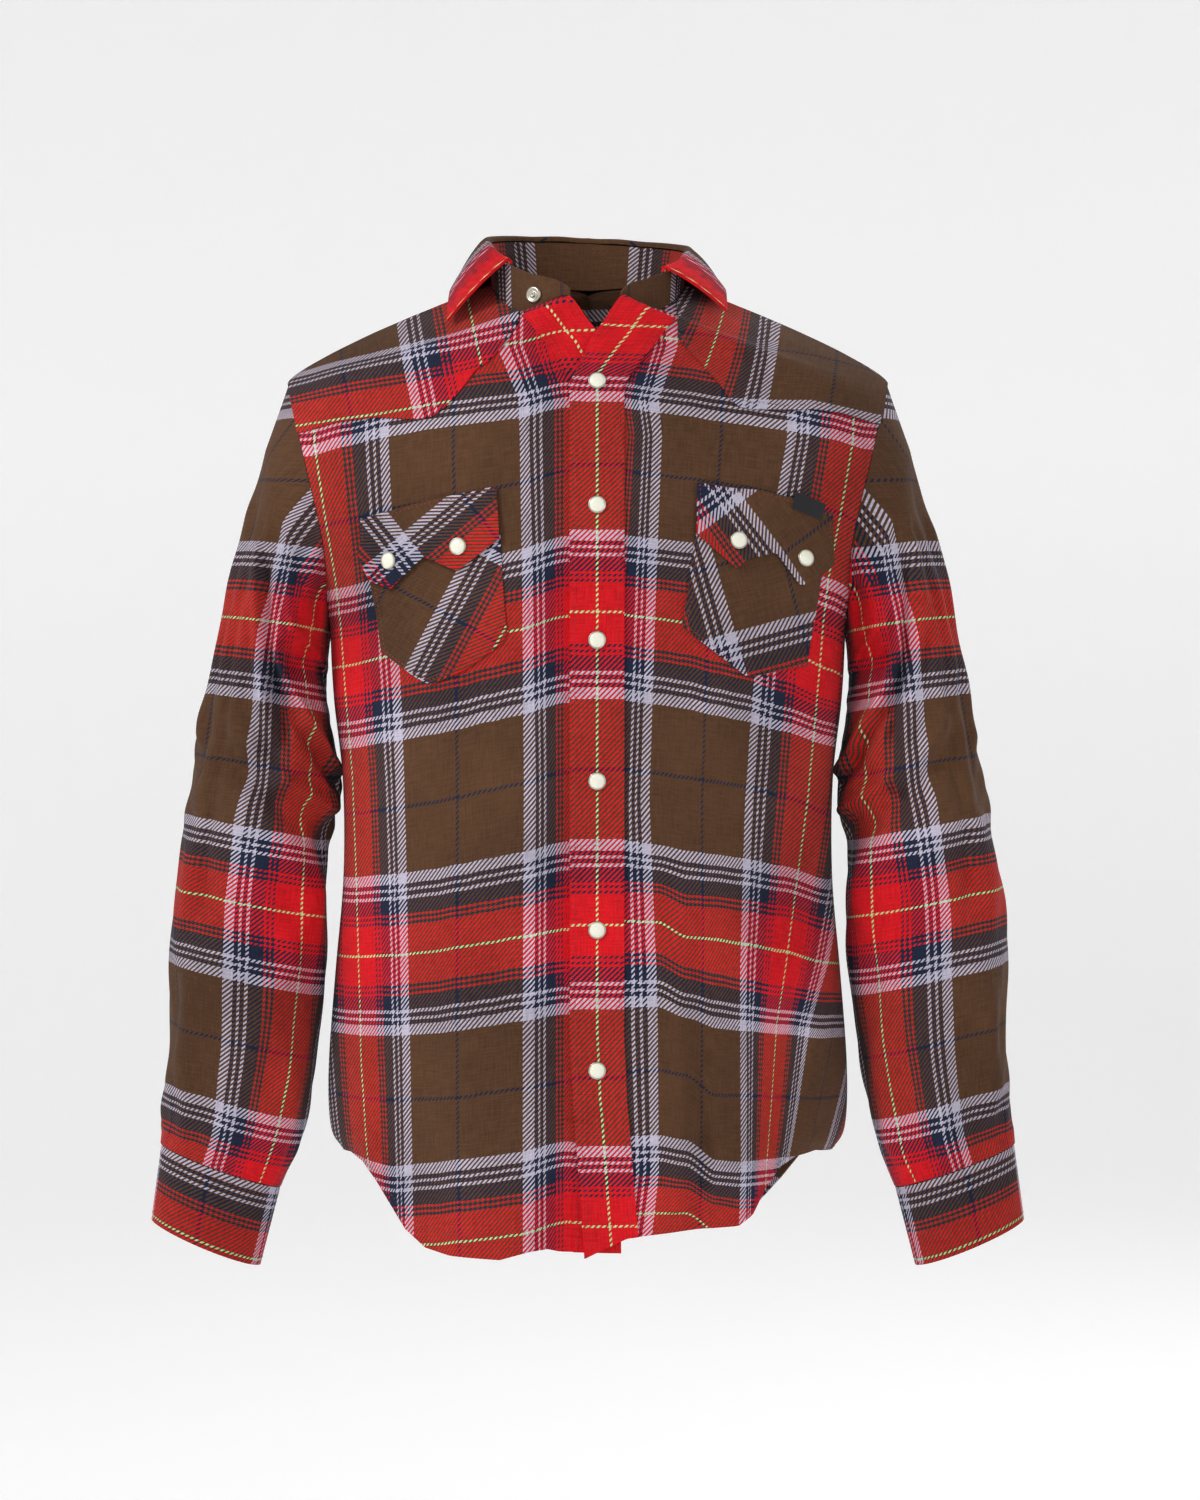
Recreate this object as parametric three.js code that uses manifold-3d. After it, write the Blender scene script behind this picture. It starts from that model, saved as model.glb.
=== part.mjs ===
// A western snap shirt, hollow as it is worn on a general figure, sleeves hanging.
// Millimetres, +Z up, the front faces -Y. The origin lies between the highest
// points of the shoulders, which carry the shirt. Left and right are the wearer's:
// the wearer's right is at -X. Every cloth piece is a thin wall on a grid of points
// worked out from the section tables below.
import * as THREE from 'three';
import { mergeVertices } from 'three/addons/utils/BufferGeometryUtils.js';
import Module from 'manifold-3d';

const wasm = await Module();
wasm.setup();

// Cloth and gaps
const CLOTH = 1.4; // wall of a panel or sleeve
const LAYER = 1.2; // wall of a piece sewn on a panel
const GAP = 0.3; // between pieces that touch
const SEAM = 0.4; // between edges that are sewn together
const STIFF = 2; // wall of the collar and cuffs, which are interlined

// Front opening
const PLACKET_X = 7; // centre line of the snaps
const BAND = 38; // width of the top band
const UNDER_BAND = 34; // width of the under band
const UNDERLAP = 15; // right front beyond the centre line
const SINK = 4.8; // how far the right front lies under the left one
const SINK_EASE = 26; // over this width it comes up again

// The wearer's sides
const RIGHT = -1;
const LEFT = 1;

// Rows of a front half, hem to shoulder seam. inX is the distance of the inner end
// from the centre plane where the neck sets it, outX that of the side seam or
// armhole, round is the share of a quarter ellipse that the row turns through, and
// fall says how early the row drops: above 1 near the centre, below 1 near the end.
const FRONT_ROWS = [
  { name: 'hem', inY: -110, inZ: -697, outX: 181, outY: 0, outZ: -637, round: 1, fall: 1.4 },
  { name: 'hip', inY: -116, inZ: -586, outX: 190, outY: 0, outZ: -620, round: 1, fall: 1.4 },
  { name: 'low waist', inY: -119, inZ: -540, outX: 191.5, outY: 0, outZ: -576, round: 1, fall: 1.4 },
  { name: 'waist', inY: -122, inZ: -470, outX: 186.5, outY: 0, outZ: -506, round: 1, fall: 1.4 },
  { name: 'ribs', inY: -125, inZ: -400, outX: 180.6, outY: 0, outZ: -436, round: 1, fall: 1.4 },
  { name: 'under chest', inY: -129, inZ: -330, outX: 181, outY: 0, outZ: -366, round: 1, fall: 1.4 },
  { name: 'chest', inY: -131, inZ: -270, outX: 187.5, outY: 0, outZ: -306, round: 1, fall: 1.4 },
  { name: 'underarm', inY: -131, inZ: -226, outX: 190, outY: 0, outZ: -262, round: 1, fall: 1.4 },
  { name: 'scye 1', inY: -129, inZ: -190, outX: 190, outY: -38, outZ: -230, round: 0.86, fall: 1.4 },
  { name: 'scye 2', inY: -124, inZ: -150, outX: 191, outY: -56, outZ: -195, round: 0.78, fall: 1.4 },
  { name: 'scye 3', inY: -116, inZ: -112, outX: 198, outY: -61, outZ: -160, round: 0.74, fall: 1.4 },
  { name: 'scye 4', inY: -106, inZ: -78, outX: 206, outY: -54, outZ: -128, round: 0.72, fall: 1.35 },
  { name: 'neck V', inY: -95, inZ: -46, outX: 212.5, outY: -40, outZ: -103, round: 0.7, fall: 1.3 },
  { name: 'stand end', inX: 19, inY: -82, inZ: -19, outX: 216.5, outY: -28, outZ: -88, round: 0.7, fall: 1.2 },
  { name: 'neck dip', inX: 45, inY: -66, inZ: -28, outX: 218.5, outY: -20, outZ: -80, round: 0.66, fall: 1 },
  { name: 'neck side', inX: 63, inY: -42, inZ: -17, outX: 219.5, outY: -15, outZ: -76, round: 0.55, fall: 0.85 },
  { name: 'shoulder seam', inX: 71, inY: -16, inZ: -3, outX: 220, outY: -11, outZ: -74, round: 0.4, fall: 0.78 },
];

// Rows of a back half, the same levels at the side seam.
const BACK_ROWS = [
  { name: 'hem', inY: 104, inZ: -712, outX: 181, outY: 0, outZ: -637, round: 1, fall: 1.4 },
  { name: 'hip', inY: 110, inZ: -586, outX: 190, outY: 0, outZ: -620, round: 1, fall: 1.4 },
  { name: 'low waist', inY: 112, inZ: -540, outX: 191.5, outY: 0, outZ: -576, round: 1, fall: 1.4 },
  { name: 'waist', inY: 106, inZ: -470, outX: 186.5, outY: 0, outZ: -506, round: 1, fall: 1.4 },
  { name: 'small of back', inY: 101, inZ: -400, outX: 180.6, outY: 0, outZ: -436, round: 1, fall: 1.4 },
  { name: 'ribs', inY: 105, inZ: -330, outX: 181, outY: 0, outZ: -366, round: 1, fall: 1.4 },
  { name: 'blades', inY: 113, inZ: -270, outX: 187.5, outY: 0, outZ: -306, round: 1, fall: 1.4 },
  { name: 'underarm', inY: 119, inZ: -226, outX: 190, outY: 0, outZ: -262, round: 1, fall: 1.4 },
  { name: 'scye 1', inY: 121, inZ: -186, outX: 190.5, outY: 38, outZ: -230, round: 0.86, fall: 1.4 },
  { name: 'scye 2', inY: 120, inZ: -144, outX: 192, outY: 60, outZ: -192, round: 0.78, fall: 1.4 },
  { name: 'scye 3', inY: 113, inZ: -102, outX: 199, outY: 64, outZ: -156, round: 0.74, fall: 1.3 },
  { name: 'scye 4', inY: 100, inZ: -62, outX: 207.5, outY: 55, outZ: -124, round: 0.72, fall: 1.2 },
  { name: 'upper back', inY: 80, inZ: -26, outX: 213.5, outY: 38, outZ: -98, round: 0.7, fall: 1.1 },
  { name: 'neck centre', inX: 0, inY: 56, inZ: 1, outX: 217, outY: 22, outZ: -82, round: 0.7, fall: 1 },
  { name: 'neck turn', inX: 42, inY: 43, inZ: 4, outX: 219, outY: 8, outZ: -75, round: 0.6, fall: 0.85 },
  { name: 'neck side', inX: 66, inY: 14, inZ: 2, outX: 220, outY: -3, outZ: -72, round: 0.5, fall: 0.8 },
  { name: 'shoulder seam', inX: 71, inY: -16, inZ: -3, outX: 220, outY: -11, outZ: -74, round: 0.4, fall: 0.78 },
];
const NECK_V_ROW = 12;
const NECK_ROW = 13;
const TOP_ROW = 16;

// Where the grids have rows, as places between the table's rows.
const BODY_LEVELS = [0, 0.33, 0.67, 1, 1.5, 2, 2.5, 3, 4, 5, 6, 6.5];
const SCYE_LEVELS = [7, 7.5, 8, 8.5, 9, 9.5, 10, 10.5, 11, 11.5, 12, 12.5];
const NECK_LEVELS = [13, 13.5, 14, 14.5, 15, 15.5, 16];
const LEVELS = [...BODY_LEVELS, ...SCYE_LEVELS, ...NECK_LEVELS];
const SLEEVE_LEVELS = [7, 7.5, 8, 8.5, 9, 9.5, 10, 10.5, 11, 12, 13, 14.5, 16];
const OVER_SHOULDER = 40; // how far a back outline reaches forwards
const SHOULDER_NORMAL = { x: 0.4, y: -0.3, z: 0.87 };
const PANEL_COLUMNS = 9; // from the band's inner edge to the side

// Shirt-tail hems: height at each distance from the centre plane.
const HEM_RIGHT = [
  { x: -24, z: -699 }, { x: 20, z: -698 }, { x: 28, z: -696 }, { x: 41, z: -698 }, { x: 62, z: -704 },
  { x: 98, z: -703 }, { x: 116, z: -699 }, { x: 131, z: -687 }, { x: 143, z: -669 },
  { x: 153, z: -653 }, { x: 163, z: -641 }, { x: 173, z: -636 }, { x: 181, z: -637 },
];
const HEM_LEFT = [
  { x: -6, z: -703 }, { x: 28, z: -694 }, { x: 46, z: -688 }, { x: 66, z: -684 }, { x: 84, z: -683 },
  { x: 108, z: -682 }, { x: 118, z: -675 }, { x: 127, z: -658 }, { x: 138, z: -642 },
  { x: 150, z: -635 }, { x: 165, z: -633 }, { x: 181, z: -637 },
];
const HEM_BACK = [
  { x: 0, z: -712 }, { x: 60, z: -711 }, { x: 100, z: -705 }, { x: 128, z: -690 },
  { x: 146, z: -668 }, { x: 160, z: -648 }, { x: 172, z: -638 }, { x: 181, z: -637 },
];

// The front edges open above the first snap, and swing to the left below the last.
// x is the distance from the centre plane towards the panel's own side.
const EDGE_RIGHT = [
  { row: 0, x: -24 }, { row: 1, x: -22 }, { row: 2, x: -22 }, { row: 6, x: -22 }, { row: 10, x: -22 },
  { row: 11, x: -22 }, { row: 12, x: -8 }, { row: 13, x: 13 },
];
const EDGE_LEFT = [
  { row: 0, x: -2 }, { row: 1, x: -10 }, { row: 2, x: -12 }, { row: 6, x: -12 }, { row: 10, x: -12 },
  { row: 11, x: -12 }, { row: 12, x: 6 }, { row: 13, x: 25 },
];

// Large folds on the fronts and back, each a soft ridge (height above 0) or trough
// along a line from one point to the other.
const FOLDS_RIGHT = [
  { name: 'side hem ripple', x1: 158, z1: -652, x2: 168, z2: -560, width: 16, height: 5 },
  { name: 'hem trough', x1: 128, z1: -700, x2: 136, z2: -600, width: 20, height: -5 },
  { name: 'hem swell', x1: 70, z1: -705, x2: 84, z2: -610, width: 26, height: 4 },
  { name: 'armhole drag', x1: 186, z1: -262, x2: 118, z2: -330, width: 18, height: -4 },
];
const FOLDS_LEFT = [
  { name: 'side hem ripple', x1: 158, z1: -640, x2: 168, z2: -550, width: 15, height: 6 },
  { name: 'hem crease', x1: 82, z1: -690, x2: 84, z2: -620, width: 12, height: -5 },
  { name: 'waist ripple', x1: 52, z1: -535, x2: 96, z2: -556, width: 16, height: 4 },
  { name: 'armhole drag', x1: 186, z1: -262, x2: 118, z2: -330, width: 18, height: -4 },
];
const FOLDS_BACK = [
  { name: 'blade fold', x1: 172, z1: -262, x2: 110, z2: -400, width: 22, height: -7 },
  { name: 'tail swell', x1: 62, z1: -712, x2: 56, z2: -560, width: 28, height: 6 },
  { name: 'waist hollow', x1: 20, z1: -430, x2: 120, z2: -455, width: 26, height: -5 },
];

// Sections of a sleeve from the armhole down. out and in are its outer and inner
// points in the front view, y is its centre's depth and depth its half depth.
const SLEEVE_ROWS = [
  { name: 'cap', outX: 238, outZ: -121, inX: 192.2, inZ: -270, y: 3, depth: 65 },
  { name: 'upper arm 1', outX: 246.5, outZ: -158, inX: 193.2, inZ: -281, y: 3, depth: 66 },
  { name: 'upper arm 2', outX: 255.5, outZ: -187, inX: 193.8, inZ: -293, y: 3, depth: 65 },
  { name: 'upper arm 3', outX: 264, outZ: -222, inX: 193.2, inZ: -306, y: 3, depth: 64 },
  { name: 'upper arm 4', outX: 272, outZ: -262, inX: 190.8, inZ: -322, y: 2, depth: 62 },
  { name: 'above elbow', outX: 280, outZ: -301, inX: 186, inZ: -344, y: 1, depth: 60 },
  { name: 'elbow 1', outX: 286, outZ: -330, inX: 183.6, inZ: -364, y: 0, depth: 58 },
  { name: 'elbow 2', outX: 290.5, outZ: -355, inX: 183.2, inZ: -380, y: -1, depth: 56 },
  { name: 'elbow 3', outX: 295, outZ: -381, inX: 186.2, inZ: -397, y: -2, depth: 54 },
  { name: 'below elbow', outX: 299, outZ: -409, inX: 190.4, inZ: -417, y: -3, depth: 53 },
  { name: 'forearm 1', outX: 306, outZ: -454, inX: 192.5, inZ: -452, y: -5, depth: 52 },
  { name: 'forearm 2', outX: 309, outZ: -505, inX: 192.5, inZ: -500, y: -8, depth: 51 },
  { name: 'forearm 3', outX: 308.5, outZ: -557, inX: 197, inZ: -553, y: -10, depth: 48 },
  { name: 'gathers 1', outX: 311, outZ: -591, inX: 204, inZ: -594, y: -11, depth: 44 },
  { name: 'gathers 2', outX: 313, outZ: -616, inX: 213, inZ: -632, y: -12, depth: 38 },
  { name: 'cuff seam', outX: 314.4, outZ: -631.5, inX: 225.6, inZ: -663.5, y: -12, depth: 33 },
];
const SLEEVE_STEPS = 1.34; // grid rings for each row of the table

// Folds of a sleeve, by row and by turn: 0 is the outer side, 90 the front, 180 the
// inner side. Each runs from (row1, turn1) to (row2, turn2).
const SLEEVE_FOLDS = [
  { name: 'front crease', row1: 3, turn1: 42, row2: 13, turn2: 46, width: 15, height: 5 },
  { name: 'cap ridge', row1: 0, turn1: 60, row2: 4, turn2: 52, width: 16, height: 4 },
  { name: 'elbow fold', row1: 6.2, turn1: 95, row2: 8.6, turn2: 165, width: 20, height: -9 },
  { name: 'elbow roll', row1: 8, turn1: 85, row2: 10, turn2: 150, width: 22, height: 6 },
  { name: 'underarm fold', row1: 0, turn1: 150, row2: 4, turn2: 108, width: 20, height: -6 },
  { name: 'back elbow fold', row1: 6.5, turn1: 215, row2: 8.5, turn2: 280, width: 24, height: -7 },
  { name: 'back crease', row1: 4, turn1: 300, row2: 13, turn2: 296, width: 18, height: 4 },
  { name: 'gather 1', row1: 13.2, turn1: 70, row2: 15, turn2: 66, width: 14, height: -4 },
  { name: 'gather 2', row1: 13, turn1: 120, row2: 15, turn2: 112, width: 14, height: -4 },
];

// Cuff: a band whose ends overlap at the back.
const CUFF = {
  topX: 270, topZ: -648, bottomX: 281, bottomZ: -704,
  topHalf: 46.5, bottomHalf: 43.5, depth: 33, y: -12,
  topTilt: 20, bottomTilt: 23,
  overlap: 24, // degrees of turn that lie over each other
  lap: 284, // turn where the outer end lies
  steps: 28,
};
const VENT_RINGS = 7; // grid rings along the sleeve's vent

// Collar, at every second neck point from the front end round to the centre back.
// The stand rises by up and leans by out; the leaf's outer edge lies at edgeX, edgeY.
const COLLAR_ROWS = [
  { name: 'stand end', up: 5, out: 0, edgeX: 100, edgeY: -64 },
  { name: 'front', up: 27, out: 0, edgeX: 100, edgeY: -58 },
  { name: 'neck front', up: 27, out: 1, edgeX: 101, edgeY: -36 },
  { name: 'shoulder', up: 27, out: 2.5, edgeX: 99, edgeY: -6 },
  { name: 'neck back', up: 29, out: 4, edgeX: 85, edgeY: 33 },
  { name: 'back turn', up: 33, out: 5, edgeX: 50, edgeY: 70 },
  { name: 'centre back', up: 37, out: 5, edgeX: 0, edgeY: 84 },
];
const COLLAR_TILT = 0.05; // drop of the stand's top for each millimetre to the left
const LEAF_START = 3; // the neck point where the leaf begins
const LEAF_CLEAR = 5.6; // of the leaf's edge above what it lies on
// The leaf's fold above the stand's top: outwards and up from it.
const LEAF_ROLL = [{ out: -1, up: 1.3 }, { out: -0.4, up: 3.4 }, { out: 2, up: 4.6 }, { out: 4.6, up: 2.6 }];
const OFF_CENTRE = 0.1; // keeps a ray off the back's middle line
const LEAF_FALL = 4; // grid steps from the roll to the leaf's edge

// Snaps
const SNAP_SIDES = 14;
const SNAP_SEAT = 0.45; // between a snap and the cloth under it
// Radius and height of a capped snap and of the bare ring half, axis to axis.
const SNAP_CAP = [[0, 0], [6.2, 0], [6.25, 0.9], [5.3, 1.3], [3.4, 2.1], [0, 2.4]];
const SNAP_RING = [[0, 0], [6.2, 0], [6.2, 0.9], [4.9, 1.6], [3.6, 1], [2, 1], [1.7, 2.2], [0, 2.4]];
const SNAP_HEIGHTS = [-82.6, -171.3, -266, -364.7, -469.3, -568.4];
const COLLAR_SNAP = { x: -38.6, z: -15.9 };
const CUFF_SNAP_DROP = 27; // below the cuff's top

// Outlines of what lies on the fronts, in the front view, from the centre outwards.
const YOKE_RIGHT = [
  [-49, -10], [-49, -37], [-55, -47], [-63, -57.5], [-70, -66], [-79, -72], [-86, -82], [-95, -93],
  [-110, -107.4], [-134, -106.5], [-152, -105], [-180, -107.5], [-206, -113], [-240, -113], [-240, 30], [-49, 30],
];
const YOKE_LEFT = [
  [64.6, -10], [64.6, -48.5], [67, -52.5], [76, -62.5], [86, -74], [95, -84], [100, -92],
  [108, -99.8], [124, -99.5], [140, -102.5], [160, -98], [184, -99], [208, -106], [240, -108], [240, 30], [64.6, 30],
];
const POCKET_RIGHT = [
  [-156, -215], [-150, -248], [-146.3, -273], [-121, -291.5], [-110.3, -297],
  [-85.6, -286.5], [-59.5, -268], [-56, -261], [-58, -240.6], [-61, -192], [-150, -192],
];
const FLAP_RIGHT = [
  [-160.5, -178], [-63.7, -158], [-60.9, -194.7], [-90.6, -217.3], [-114.6, -206.7],
  [-137.9, -228.6], [-154.1, -221.6], [-161.2, -207.4],
];
const POCKET_LEFT = [
  [76, -190], [72.5, -216], [71, -230], [66.2, -256.2], [84.6, -270.3], [112.8, -291.5],
  [156.6, -282.3], [160.8, -257], [163.6, -242.7], [167, -215], [166, -190],
];
const FLAP_LEFT = [
  [76.8, -155.2], [96.6, -158], [120.6, -159.4], [148.8, -165.1], [174.2, -173.5],
  [174.2, -209.6], [167.2, -215.2], [150.2, -225.8], [131.9, -203.2], [111.4, -208.8],
  [104.3, -215.2], [76.1, -191.9],
];
const LABEL = [[147, -160], [168, -167.5], [164.6, -178.5], [143.6, -171.5]];
const YOKE_BACK = [
  [0, -128], [34, -104], [70, -96], [120, -104], [170, -118], [240, -128], [240, 40], [0, 40],
];
const FLAP_SNAPS = [
  { side: RIGHT, x: -139, z: -208.4 }, { side: RIGHT, x: -89.9, z: -200 },
  { side: LEFT, x: 105.9, z: -195.6 }, { side: LEFT, x: 153.9, z: -207.3 },
];

// A smooth run through evenly spaced rows: the value at place t of one column.
function along(rows, column, t) {
  const last = rows.length - 1;
  const i = Math.min(Math.max(Math.floor(t), 0), last - 1);
  const f = t - i;
  const at = (k) => rows[Math.min(Math.max(k, 0), last)][column];
  const a = at(i);
  const b = at(i + 1);
  const slopeA = i > 0 ? (b - at(i - 1)) / 2 : b - a;
  const slopeB = i < last - 1 ? (at(i + 2) - a) / 2 : b - a;
  const f2 = f * f;
  const f3 = f2 * f;
  return a * (2 * f3 - 3 * f2 + 1) + slopeA * (f3 - 2 * f2 + f) + b * (3 * f2 - 2 * f3) + slopeB * (f3 - f2);
}

// A straight run through rows whose places are in column key.
function between(rows, key, column, t) {
  const next = rows.findIndex((row) => row[key] >= t);
  if (next === 0) return rows[0][column];
  if (next < 0) return rows[rows.length - 1][column];
  const a = rows[next - 1];
  const b = rows[next];
  return a[column] + ((b[column] - a[column]) * (t - a[key])) / (b[key] - a[key]);
}

const smooth = (t) => {
  const c = Math.min(Math.max(t, 0), 1);
  return c * c * (3 - 2 * c);
};

// How high a fold stands at (p, q): a bell across its line that dies out at its ends.
function foldHeight(p, q, p1, q1, p2, q2, width, height) {
  const dp = p2 - p1;
  const dq = q2 - q1;
  const length = Math.hypot(dp, dq);
  const s = ((p - p1) * dp + (q - q1) * dq) / (length * length);
  const past = Math.max(0, -s, s - 1) * length;
  const across = ((p - p1) * dq - (q - q1) * dp) / length;
  return height * Math.exp(-(across * across + past * past) / (width * width));
}

// A front or back half as a surface: a row runs from its inner end to the side seam
// or armhole, as part of a quarter ellipse in plan, and falls on the way.
class Half {
  constructor({ rows, side, hem, edge, folds, band, seam }) {
    Object.assign(this, { rows, side, hem, edge, folds, band, seam });
  }

  // Distance of the row's inner end, which the neck or the front edge sets.
  innerX(row) {
    if (this.edge && row < NECK_ROW) return between(this.edge, 'row', 'x', row);
    if (!this.edge && row < NECK_ROW) return 0;
    const start = this.edge ? this.edge[this.edge.length - 1].x : 0;
    const neck = [start, ...this.rows.slice(NECK_ROW + 1).map((r) => r.inX)].map((inX) => ({ inX }));
    return along(neck, 'inX', row - NECK_ROW);
  }

  // Distance at which the row is foremost: the snaps' line, and the neck above it.
  crownX(row) {
    if (!this.edge) return this.innerX(row);
    const centre = this.side * PLACKET_X;
    const ease = smooth(row - NECK_V_ROW);
    return centre + (this.innerX(Math.max(row, NECK_V_ROW)) - centre) * ease;
  }

  // The point of a row at distance x from the centre plane.
  point(row, x) {
    const crown = this.crownX(row);
    const outX = along(this.rows, 'outX', row);
    const s = Math.min(1, Math.abs(x - crown) / (outX - crown));
    const turn = (along(this.rows, 'round', row) * Math.PI) / 2;
    const angle = Math.asin(Math.min(1, s * Math.sin(turn)));
    const bend = (1 - Math.cos(angle)) / (1 - Math.cos(turn));
    let y = along(this.rows, 'inY', row);
    y += (along(this.rows, 'outY', row) - y) * bend;
    const drop = 1 - Math.pow(1 - s, along(this.rows, 'fall', row));
    let z = along(this.rows, 'inZ', row);
    z += (along(this.rows, 'outZ', row) - z) * drop;
    if (row < 1) z += (between(this.hem, 'x', 'z', x) - this.hemLine(s)) * (1 - row);
    const out = Math.sign(this.rows[1].inY);
    const clear = smooth((1 - s) * 6);
    for (const f of this.folds) {
      y += out * clear * foldHeight(x, z, f.x1, f.z1, f.x2, f.z2, f.width, f.height);
    }
    if (this.side === RIGHT && this.edge) y += this.sink(row, x);
    const seam = smooth(row - TOP_ROW + 1) + smooth((s - 0.9) * 10);
    y += (out * this.seam * Math.min(1, seam)) / 2;
    return new THREE.Vector3(this.side * x, y, z);
  }

  hemLine(s) {
    const { inZ, outZ, fall } = this.rows[0];
    return inZ + (outZ - inZ) * (1 - Math.pow(1 - s, fall));
  }

  // The right front lies under the left one near the centre.
  sink(row, x) {
    const overlap = 1 - smooth((row - NECK_V_ROW - 0.4) / 0.6);
    return SINK * overlap * (1 - smooth((x - UNDERLAP) / SINK_EASE));
  }

  // Distances at which a row has its points: even turns of the ellipse, after two
  // columns that bound the band.
  columns(row) {
    const inX = this.innerX(row);
    const crown = this.crownX(row);
    const width = along(this.rows, 'outX', row) - crown;
    const list = this.band ? [inX, inX + this.band / 2, inX + this.band] : [inX];
    const turn = (along(this.rows, 'round', row) * Math.PI) / 2;
    const start = Math.asin(((list[list.length - 1] - crown) / width) * Math.sin(turn));
    for (let i = 1; i <= PANEL_COLUMNS; i += 1) {
      const angle = start + ((turn - start) * i) / PANEL_COLUMNS;
      list.push(crown + (width * Math.sin(angle)) / Math.sin(turn));
    }
    return list;
  }

  grid() {
    return LEVELS.map((row) => this.columns(row).map((x) => this.point(row, x)));
  }
}

// Normals of a grid of points by differences between neighbours.
function gridNormals(grid, wrap, flip) {
  const rows = grid.length;
  const columns = grid[0].length;
  const column = (j) => (wrap ? (j + columns) % columns : Math.min(Math.max(j, 0), columns - 1));
  return grid.map((line, i) =>
    line.map((_, j) => {
      const up = grid[Math.min(i + 1, rows - 1)][j].clone().sub(grid[Math.max(i - 1, 0)][j]);
      const side = line[column(j + 1)].clone().sub(line[column(j - 1)]);
      return side.cross(up).normalize().multiplyScalar(flip);
    }),
  );
}

const moved = (grid, normals, distance) =>
  grid.map((line, i) => line.map((p, j) => p.clone().addScaledVector(normals[i][j], distance)));

// A closed wall between an outer and an inner grid; wrap joins its first and last columns.
function wall(outer, inner, wrap) {
  const rows = outer.length;
  const columns = outer[0].length;
  const positions = [];
  for (const grid of [outer, inner]) for (const line of grid) for (const p of line) positions.push(p.x, p.y, p.z);
  const at = (face, i, j) => face * rows * columns + i * columns + (j % columns);
  const index = [];
  const quad = (a, b, c, d) => index.push(a, b, c, a, c, d);
  const lastColumn = wrap ? columns : columns - 1;
  for (let i = 0; i < rows - 1; i += 1) {
    for (let j = 0; j < lastColumn; j += 1) {
      quad(at(0, i, j), at(0, i, j + 1), at(0, i + 1, j + 1), at(0, i + 1, j));
      quad(at(1, i, j), at(1, i + 1, j), at(1, i + 1, j + 1), at(1, i, j + 1));
    }
  }
  for (let j = 0; j < lastColumn; j += 1) {
    quad(at(0, 0, j), at(1, 0, j), at(1, 0, j + 1), at(0, 0, j + 1));
    quad(at(0, rows - 1, j), at(0, rows - 1, j + 1), at(1, rows - 1, j + 1), at(1, rows - 1, j));
  }
  for (let i = 0; i < rows - 1 && !wrap; i += 1) {
    quad(at(0, i, 0), at(0, i + 1, 0), at(1, i + 1, 0), at(1, i, 0));
    quad(at(0, i, columns - 1), at(1, i, columns - 1), at(1, i + 1, columns - 1), at(0, i + 1, columns - 1));
  }
  return closed(positions, index);
}

// A geometry whose faces point outwards, whichever way its grid ran.
function closed(positions, index) {
  let volume = 0;
  const p = (k) => new THREE.Vector3().fromArray(positions, 3 * k);
  for (let t = 0; t < index.length; t += 3) {
    volume += p(index[t]).dot(p(index[t + 1]).cross(p(index[t + 2])));
  }
  if (volume < 0) for (let t = 0; t < index.length; t += 3) [index[t], index[t + 1]] = [index[t + 1], index[t]];
  const geometry = new THREE.BufferGeometry();
  geometry.setAttribute('position', new THREE.Float32BufferAttribute(positions, 3));
  geometry.setIndex(index);
  return geometry;
}

function toSolid(geometry) {
  const bare = geometry.clone();
  bare.deleteAttribute('normal');
  bare.deleteAttribute('uv');
  const merged = mergeVertices(bare, 1e-4);
  const mesh = new wasm.Mesh({
    numProp: 3,
    vertProperties: new Float32Array(merged.attributes.position.array),
    triVerts: new Uint32Array(merged.index.array),
  });
  return new wasm.Manifold(mesh);
}

function toGeometry(solid) {
  const mesh = solid.getMesh();
  const geometry = new THREE.BufferGeometry();
  geometry.setAttribute('position', new THREE.Float32BufferAttribute(mesh.vertProperties, 3));
  geometry.setIndex(new THREE.Uint32BufferAttribute(mesh.triVerts, 1));
  return geometry;
}

// A prism along Y through an outline of the front view, before or behind the centre.
function prism(outline, facing) {
  const reach = 220;
  const shape = new THREE.Shape(outline.map(([x, z]) => new THREE.Vector2(x, z)));
  const geometry = new THREE.ExtrudeGeometry(shape, { depth: reach, bevelEnabled: false });
  geometry.rotateX(Math.PI / 2);
  if (facing > 0) geometry.translate(0, reach - OVER_SHOULDER, 0);
  return toSolid(geometry);
}

// One front or back half with its points, normals and wall.
function makeHalf(settings) {
  const half = new Half(settings);
  const grid = half.grid();
  const facing = Math.sign(half.rows[1].inY);
  const normals = gridNormals(grid, false, half.side * -facing);
  // The front and the back meet along the shoulder with their edges in one plane.
  const seamNormal = new THREE.Vector3(half.side * SHOULDER_NORMAL.x, SHOULDER_NORMAL.y, SHOULDER_NORMAL.z);
  normals[normals.length - 1].forEach((n) => n.copy(seamNormal).normalize());
  return { half, grid, normals, facing };
}

const slab = ({ grid, normals }, lift, thickness) =>
  wall(moved(grid, normals, lift + thickness), moved(grid, normals, lift), false);

// A piece that lies on a panel: the panel's own points moved out, cut to an outline.
function onPanel(panel, outline, lift, thickness = LAYER) {
  const sheet = toSolid(slab(panel, lift, thickness));
  return toGeometry(sheet.intersect(prism(outline, panel.facing)));
}

// The first columns of a panel moved out, as its band.
function bandOn(panel, lift, thickness) {
  const rows = LEVELS.filter((row) => row <= NECK_ROW).length;
  const part = (list) => list.slice(0, rows).map((line) => line.slice(0, 3));
  return slab({ grid: part(panel.grid), normals: part(panel.normals) }, lift, thickness);
}

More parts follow.
